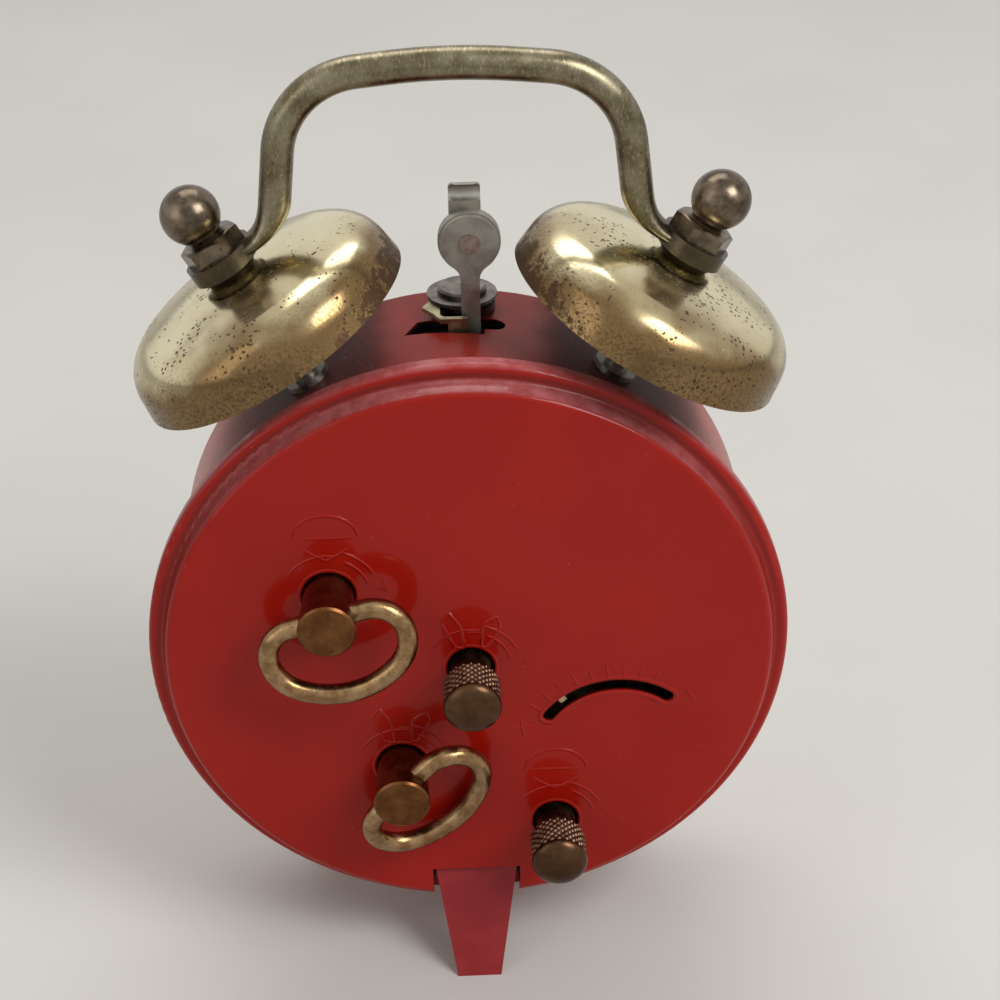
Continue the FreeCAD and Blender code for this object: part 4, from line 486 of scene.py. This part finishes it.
def materials():
    """Every CAD node's material, and the pieces that stand for CAD nodes."""
    red = red_lacquer()
    dress(red, "rear_cover")
    cover_marks(red)
    dress(dusty_lacquer(), "case_drum")
    dress(foot_lacquer(), "rear_foot")
    dress(bell_brass("bell_brass_left", -1), "bell_left")
    dress(bell_brass("bell_brass_right", 1), "bell_right")
    dress(bow_brass(), "handle", "bell_spacers")
    bronze = tarnished("dark_bronze", (0.075, 0.056, 0.04), (0.2, 0.155, 0.11), (0.03, 0.02, 0.013),
                       0.2, 0.34, 2.6)
    dress(bronze, "finial_left", "finial_right")
    barrel = tarnished("key_brass", (0.11, 0.042, 0.015), (0.17, 0.075, 0.026), (0.04, 0.02, 0.01))
    dress(barrel, "time_key", "alarm_key")
    wire = tarnished("loop_brass", (0.21, 0.115, 0.05), (0.36, 0.235, 0.12), (0.08, 0.045, 0.022),
                     0.2, 0.32)
    dress(wire, "time_key_loop", "alarm_key_loop")
    grip = tarnished("knob_grip", (0.11, 0.065, 0.04), (0.24, 0.155, 0.1), (0.03, 0.02, 0.014),
                     0.26, 0.4, 0.9)
    cap = tarnished("knob_cap", (0.065, 0.032, 0.016), (0.1, 0.053, 0.028), (0.035, 0.018, 0.01),
                    0.24, 0.34, 3.0)
    knurled_knob("hand_set_grip", "hand_set_knob", "centre_arbor", HAND_SET, grip, cap)
    knurled_knob("alarm_set_grip", "alarm_set_knob", "alarm_set_arbor", ALARM_SET, grip, cap)
    zinc = tarnished("zinc", (0.24, 0.225, 0.19), (0.34, 0.325, 0.28), (0.12, 0.11, 0.09),
                     0.44, 0.6, 2.2, 0.64)
    dress(zinc, "hammer_stem", "hammer_weight", "hammer_tab")
    dull = tarnished("dull_steel", (0.1, 0.09, 0.078), (0.2, 0.18, 0.155), (0.05, 0.042, 0.034),
                     0.34, 0.5, 1.4)
    dress(dull, "stop_washer", "stop_rivet")
    copper = tarnished("rivet_copper", (0.22, 0.165, 0.135), (0.34, 0.27, 0.23), (0.1, 0.07, 0.055),
                       0.32, 0.45, 0.7)
    dress(copper, "hammer_rivet")
    blued = tarnished("dark_steel", (0.05, 0.045, 0.04), (0.12, 0.11, 0.1), (0.02, 0.02, 0.02))
    dress(blued, "stop_boss", "hammer_arbor", "time_mainspring", "alarm_mainspring", "hairspring")
    plate = tarnished("plate_brass", (0.36, 0.28, 0.14), (0.56, 0.46, 0.27), (0.14, 0.1, 0.05),
                      0.28, 0.42, 1.4)
    lever = tarnished("lever_brass", (0.22, 0.19, 0.115), (0.38, 0.33, 0.2), (0.09, 0.07, 0.04),
                      0.34, 0.48, 1.8)
    dress(lever, "stop_lever")
    dress(plate, "back_plate", "front_plate", "regulator", "regulator_boss",
          "time_great_wheel", "centre_wheel", "third_wheel", "fourth_wheel", "escape_wheel",
          "pallet_lever", "balance_wheel", "minute_wheel", "hour_wheel", "alarm_wheel",
          "alarm_great_wheel", "alarm_escape_wheel")
    worn = tarnished("post_steel", (0.16, 0.14, 0.115), (0.32, 0.29, 0.25), (0.07, 0.055, 0.04),
                     0.3, 0.45, 1.2)
    dress(worn, "bell_posts")
    steel = tarnished("bright_steel", (0.42, 0.42, 0.41), (0.6, 0.6, 0.58), (0.24, 0.22, 0.2),
                      0.22, 0.36)
    dress(steel, "post_nuts", "pillars", "pillar_nuts", "time_winding_arbor",
          "alarm_winding_arbor", "centre_arbor", "alarm_set_arbor")
    polished = tarnished("bezel_brass", (0.54, 0.43, 0.24), (0.66, 0.56, 0.35), (0.26, 0.18, 0.09),
                         0.16, 0.26, 6.0, 0.68)
    dress(polished, "bezel")
    dress(matt("dial_white", (0.77, 0.75, 0.69), (0.73, 0.71, 0.65)), "dial", "glass_ring")
    dial_marks(matt("dial_ink", (0.015, 0.014, 0.013), (0.03, 0.028, 0.026), 0.4))
    pale = matt("lume_pale", (0.6, 0.62, 0.42), (0.52, 0.55, 0.36), 0.6)
    lume("minute_lume", "minute_hand", "centre_arbor", MINUTE_HAND_AT, 5.0, 17.5, 0.8, pale)
    lume("hour_lume", "hour_hand", "hour_wheel", HOUR_HAND_AT, 4.5, 12.0, 1.2, pale)
    black = matt("hand_black", (0.012, 0.012, 0.012), (0.03, 0.028, 0.026), 0.3)
    dress(black, "hour_hand", "minute_hand")
    dress(polished, "alarm_hand")
    dress(matt("foot_bronze_lacquer", (0.2, 0.008, 0.005), (0.25, 0.014, 0.01), 0.35), "front_feet")
    dress(clear_glass(), "glass")


def smooth():
    """Shade the CAD pieces smoothly."""
    for piece in NODE.values():
        for face in piece.data.polygons:
            face.use_smooth = True


def strip_mesh(name, lines, material):
    """Low rounded ridges on the cover's face, one along each line.

    A line is (points, closed, half width, height), its points (x, z) in mm from the case's axis.
    """
    shape = bmesh.new()
    for points, closed, half, high in lines:
        rows = []
        count = len(points)
        for k, (x, z) in enumerate(points):
            before = points[k - 1] if closed or k else points[k]
            after = points[(k + 1) % count] if closed or k < count - 1 else points[k]
            run = (after[0] - before[0], after[1] - before[1])
            size = hypot(*run)
            across = (-run[1] / size, run[0] / size)
            end = not closed and k in (0, count - 1)
            row = []
            for step in range(-2, 3):
                off = half * step / 2
                rise = -RIDGE_SINK if end or abs(step) == 2 else high * (1 - 0.3 * abs(step))
                row.append(shape.verts.new(mm(x + across[0] * off, COVER_Y + rise,
                                              AXIS_Z + z + across[1] * off)))
            rows.append(row)
        if closed:
            rows.append(rows[0])
        for one, two in zip(rows, rows[1:]):
            for j in range(4):
                shape.faces.new((one[j], one[j + 1], two[j + 1], two[j])).smooth = True
    finished(name, shape, material, "case")


def finished(name, shape, material, body):
    """Turn a bmesh into an object that rides on a body."""
    mesh = bpy.data.meshes.new(name)
    shape.to_mesh(mesh)
    shape.free()
    mesh.materials.append(material)
    piece = bpy.data.objects.new(name, mesh)
    bpy.context.scene.collection.objects.link(piece)
    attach(piece, body)
    return piece


def arc(centre, radius, start, end, steps):
    """Points along an arc, from one angle to another in degrees."""
    made = []
    for k in range(steps + 1):
        angle = radians(start + (end - start) * k / steps)
        made.append((centre[0] + radius * cos(angle), centre[1] + radius * sin(angle)))
    return made


def moved(points, centre):
    """Points shifted by a centre."""
    return [(x + centre[0], z + centre[1]) for x, z in points]


def softened(points):
    """A closed line with each corner made into two points, so that a ridge turns it cleanly."""
    made = []
    count = len(points)
    for k, (x, z) in enumerate(points):
        for other in (points[k - 1], points[(k + 1) % count]):
            size = max(hypot(other[0] - x, other[1] - z), SHORTEST)
            share = min(CORNER_SHARE, CORNER_CUT / size)
            made.append((x + (other[0] - x) * share, z + (other[1] - z) * share))
    return made


def dial_marks(ink):
    """Numbers, minute track and alarm ring printed on the dial."""
    face = SHIFT_Y + DIAL_FRONT - PRINT_RISE
    shape = bmesh.new()
    strokes = []
    for k in range(60):
        inner, wide = (TRACK_IN, TRACK_W) if k % 5 else (TRACK_IN_AT_HOURS, TRACK_W_AT_HOURS)
        strokes.append((6 * k, inner, TRACK_OUT, wide))
    strokes += [(30 * k, *ALARM_RING, ALARM_RING_W) for k in range(12)]
    for angle, low, high, wide in strokes:
        out = Vector((sin(radians(angle)), 0, cos(radians(angle))))
        side = Vector((out.z, 0, -out.x)) * wide / 2
        middle = Vector((HAND_SET[0], face, AXIS_Z + HAND_SET[1]))
        corners = [middle + out * low - side, middle + out * low + side,
                   middle + out * high + side, middle + out * high - side]
        shape.faces.new([shape.verts.new(mm(*corner)) for corner in corners])
    finished("minute_track", shape, ink, "case")
    for hour in range(1, 13):
        text = bpy.data.curves.new("number_%d" % hour, "FONT")
        text.body = str(hour)
        text.size = mm(NUMBER_SIZE)
        text.align_x = "CENTER"
        text.align_y = "CENTER"
        text.extrude = mm(NUMBER_THICK)
        text.materials.append(ink)
        piece = bpy.data.objects.new("number_%d" % hour, text)
        bpy.context.scene.collection.objects.link(piece)
        turn = radians(30 * hour)
        piece.location = mm(HAND_SET[0] + NUMBERS_R * sin(turn), face,
                            AXIS_Z + HAND_SET[1] + NUMBERS_R * cos(turn))
        piece.rotation_euler = (pi / 2, 0, 0)
        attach(piece, "case")


def lume(name, node, body, angle, low, high, wide, material):
    """Pale filling along the middle of a hand."""
    turn = radians(angle)
    along = Vector((cos(turn), 0, sin(turn)))
    side = Vector((along.z, 0, -along.x)) * wide / 2
    start = Vector((HAND_SET[0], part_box(node)[0].y * 1000 - LUME_RISE, AXIS_Z + HAND_SET[1]))
    widest = low + (high - low) * LUME_WIDEST
    corners = [start + along * low, start + along * widest + side,
               start + along * high, start + along * widest - side]
    shape = bmesh.new()
    shape.faces.new([shape.verts.new(mm(*corner)) for corner in reversed(corners)])
    finished(name, shape, material, body)


def cover_marks(material):
    """Signs and ticks pressed into the cover, and the turned edges of its openings."""
    lines = []

    def draw(points, closed=False):
        lines.append((points, closed, RIDGE_HALF, RIDGE_HIGH))

    for x, z in (HAND_SET, ALARM_SET, TIME_KEY, ALARM_KEY):
        centre = (x, z)
        draw(arc(centre, 4.5, 28, 104, 14))
        draw(arc(centre, 4.1, 112, 166, 10))
        draw(arc(centre, 5.05, 104, 158, 10))
        draw(moved([(-4.9, 2.2), (-5.6, 0.4), (-4.0, 0.9)], centre))
    left = [(0.5, 1.9), (0.95, 4.6), (2.1, 6.2), (2.8, 4.9), (1.45, 1.9)]
    right = [(-1.05, 1.9), (-1.3, 4.6), (-2.65, 5.6), (-3.05, 4.3), (-1.75, 1.9)]
    for shift in ((HAND_SET[0], HAND_SET[1] + 0.5), (TIME_KEY[0], TIME_KEY[1] + 1.0)):
        draw(moved(softened(left), shift), True)
        draw(moved(softened(right), shift), True)
        draw(moved([(0.6, 3.7), (-0.4, 3.68), (-1.25, 3.66)], shift))
    for shift in ((ALARM_SET[0], ALARM_SET[1] + 6.7), (ALARM_KEY[0], ALARM_KEY[1] + 6.5)):
        dome = [(3.2 * cos(radians(a)), 2.5 * sin(radians(a))) for a in range(0, 181, 12)]
        draw(moved(dome, shift))
        draw(moved([(3.4, -0.02), (0.0, 0.0), (-3.4, -0.02)], shift))
        draw(moved([(2.6, -0.8), (1.3, -1.8), (0.1, -2.5), (-1.3, -1.8), (-2.6, -0.8)], shift))
        draw(moved([(0.0, -3.0), (0.0, -3.9)], shift))
    for k in range(TICKS):
        angle = TICKS_FROM + TICK_STEP * k
        draw([round_balance(r, angle) for r in (9.5, 9.75, 10.3, 10.9, 11.15)])
    plus = (-5.05, -8.2)
    draw(moved([(-1.15, 0.16), (-0.95, 0.13), (0.0, 0.0), (0.95, -0.13), (1.15, -0.16)], plus))
    draw(moved([(0.14, 1.15), (0.12, 0.95), (0.0, 0.0), (-0.12, -0.95), (-0.14, -1.15)], plus))
    draw([(-21.5, -4.0), (-21.65, -4.2), (-22.55, -5.6), (-22.7, -5.8)])
    for (x, z), radius in ((HAND_SET, KNOB_HOLE_R), (ALARM_SET, KNOB_HOLE_R),
                           (TIME_KEY, KEY_HOLE_R), (ALARM_KEY, KEY_HOLE_R)):
        ring = arc((x, z), radius + HOLE_LIP_OUT, 0, 352.5, 47)
        lines.append((ring, True, HOLE_LIP_HALF, HOLE_LIP_HIGH))
    inner = SLOT_R - SLOT_W / 2 - SLOT_LIP
    outer = SLOT_R + SLOT_W / 2 + SLOT_LIP
    cap = SLOT_W / 2 + SLOT_LIP
    low, high = SLOT_TURN
    lip = arc(BALANCE, outer, low, high, 30)
    lip += arc(round_balance(SLOT_R, high), cap, high, high + 180, 8)[1:-1]
    lip += arc(BALANCE, inner, high, low, 30)
    lip += arc(round_balance(SLOT_R, low), cap, low + 180, low + 360, 8)[1:-1]
    lines.append((lip, True, SLOT_LIP, SLOT_LIP_HIGH))
    strip_mesh("cover_marks", lines, material)


def round_balance(radius, angle):
    """Point at a radius and angle from the balance's centre."""
    turn = radians(angle)
    return (BALANCE[0] + radius * cos(turn), BALANCE[1] + radius * sin(turn))


def knurled_knob(name, node, body, centre, grip, cap):
    """Setting knob whose grip has crossed spiral knurls, with a smooth domed end."""
    rings = [(KNOB_NECK_R, KNOB_INNER_END, False), (KNOB_NECK_R, KNOB_FROM, False)]
    rings += [(KNOB_NECK_R + KNOB_NECK_EDGE, KNOB_FROM, False),
              (KNOB_R - KNOB_SHOULDER, KNOB_FROM, False)]
    length = KNOB_TOP - KNOB_CAP - KNOB_FROM - KNOB_GRIP_LESS
    for k in range(KNURL_STEPS + 1):
        rings.append((KNOB_R, KNOB_FROM + KNOB_GRIP_EDGE + length * k / KNURL_STEPS, True))
    cap_from = len(rings) - 1
    for k in range(KNOB_DOME_STEPS):
        turn = radians(90 * k / KNOB_DOME_STEPS)
        rings.append((KNOB_R * cos(turn), KNOB_TOP - KNOB_CAP * (1 - sin(turn)), False))
    sides = KNURLS * KNURL_SIDES
    shape = bmesh.new()
    grid = []
    for radius, y, cut in rings:
        row = []
        for k in range(sides):
            turn = 2 * pi * k / sides
            depth = 0.0
            if cut:
                lean = (y - KNOB_FROM) / length * KNURL_ROWS * 2 * pi
                one = abs(sin((KNURLS * turn + lean) / 2))
                two = abs(sin((KNURLS * turn - lean) / 2))
                depth = KNURL_DEEP * (1 - min(1.0, KNURL_SHARP * min(one, two)))
            out = radius - depth
            row.append(shape.verts.new(mm(centre[0] + out * cos(turn), SHIFT_Y + y,
                                          AXIS_Z + centre[1] + out * sin(turn))))
        grid.append(row)
    for level, (one, two) in enumerate(zip(grid, grid[1:])):
        for k in range(sides):
            face = shape.faces.new((one[k], two[k], two[(k + 1) % sides], one[(k + 1) % sides]))
            face.smooth = True
            face.material_index = 1 if level >= cap_from else 0
    tip = shape.verts.new(mm(centre[0], SHIFT_Y + KNOB_TOP, AXIS_Z + centre[1]))
    back = shape.verts.new(mm(centre[0], SHIFT_Y + KNOB_INNER_END, AXIS_Z + centre[1]))
    for k in range(sides):
        face = shape.faces.new((grid[-1][k], tip, grid[-1][(k + 1) % sides]))
        face.smooth = True
        face.material_index = 1
        shape.faces.new((back, grid[0][k], grid[0][(k + 1) % sides]))
    piece = finished(name, shape, grip, body)
    piece.data.materials.append(cap)
    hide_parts(node)


def camera():
    """The photograph's camera."""
    data = bpy.data.cameras.new("camera")
    data.sensor_width = SENSOR_W
    data.lens = LENS
    data.clip_start = CLIP_START
    piece = bpy.data.objects.new("camera", data)
    bpy.context.scene.collection.objects.link(piece)
    forward = Vector((-sin(YAW) * cos(PITCH), -cos(YAW) * cos(PITCH), -sin(PITCH)))
    level = Vector((-cos(YAW), sin(YAW), 0))
    upright = level.cross(forward)
    right = cos(ROLL) * level + sin(ROLL) * upright
    up = -sin(ROLL) * level + cos(ROLL) * upright
    turn = Matrix((right, up, -forward)).transposed().to_4x4()
    piece.matrix_world = Matrix.Translation(mm(*CAMERA_AT)) @ turn
    bpy.context.scene.camera = piece


def softbox(name, place, width, height, power, colour=(1, 1, 1)):
    """Area lamp that faces the clock.  Its place and size are in metres."""
    data = bpy.data.lights.new(name, "AREA")
    data.shape = "RECTANGLE"
    data.size = width
    data.size_y = height
    data.energy = power
    data.color = colour
    piece = bpy.data.objects.new(name, data)
    bpy.context.scene.collection.objects.link(piece)
    piece.location = place
    piece.rotation_euler = (Vector(LAMP_AIM) - Vector(place)).to_track_quat("-Z", "Y").to_euler()


def studio():
    """Pale floor, soft lamps and a pale world."""
    look = Look("pale_floor", roughness=0.6)
    cloud = look.noise(60.0, detail=4)
    look.colour(look.mix(look.span(cloud, 0.3, 0.7), (0.6, 0.575, 0.535), (0.63, 0.605, 0.565)))
    mesh = bpy.data.meshes.new("floor")
    far = FLOOR_HALF
    corners = [(-far, -far, 0), (far, -far, 0), (far, far, 0), (-far, far, 0)]
    mesh.from_pydata(corners, [], [(0, 1, 2, 3)])
    floor = bpy.data.objects.new("floor", mesh)
    floor.data.materials.append(look.material)
    bpy.context.scene.collection.objects.link(floor)
    world = bpy.data.worlds.new("world")
    world.use_nodes = True
    sky = world.node_tree
    path = sky.nodes.new("ShaderNodeLightPath")
    seen = path.outputs["Is Camera Ray"]
    for kind in ("Is Glossy Ray", "Is Transmission Ray"):
        more = sky.nodes.new("ShaderNodeMath")
        more.operation = "MAXIMUM"
        sky.links.new(seen, more.inputs[0])
        sky.links.new(path.outputs[kind], more.inputs[1])
        seen = more.outputs[0]
    level = sky.nodes.new("ShaderNodeMapRange")
    level.inputs["To Min"].default_value = WORLD_LIGHT
    level.inputs["To Max"].default_value = WORLD_SEEN
    sky.links.new(seen, level.inputs["Value"])
    sky.links.new(level.outputs["Result"], sky.nodes["Background"].inputs["Strength"])
    sky.nodes["Background"].inputs["Color"].default_value = (1, 0.99, 0.975, 1)
    bpy.context.scene.world = world
    softbox("key_lamp", (-0.36, 0.3, 0.5), 0.3, 0.3, 2.8, (0.95, 0.98, 1.0))
    softbox("fill_lamp", (0.5, 0.35, 0.35), 0.3, 0.5, 0.45)
    softbox("top_lamp", (0.05, -0.3, 0.6), 0.5, 0.3, 1.5)


camera()
materials()
smooth()
studio()

bpy.context.scene.view_settings.view_transform = "Standard"
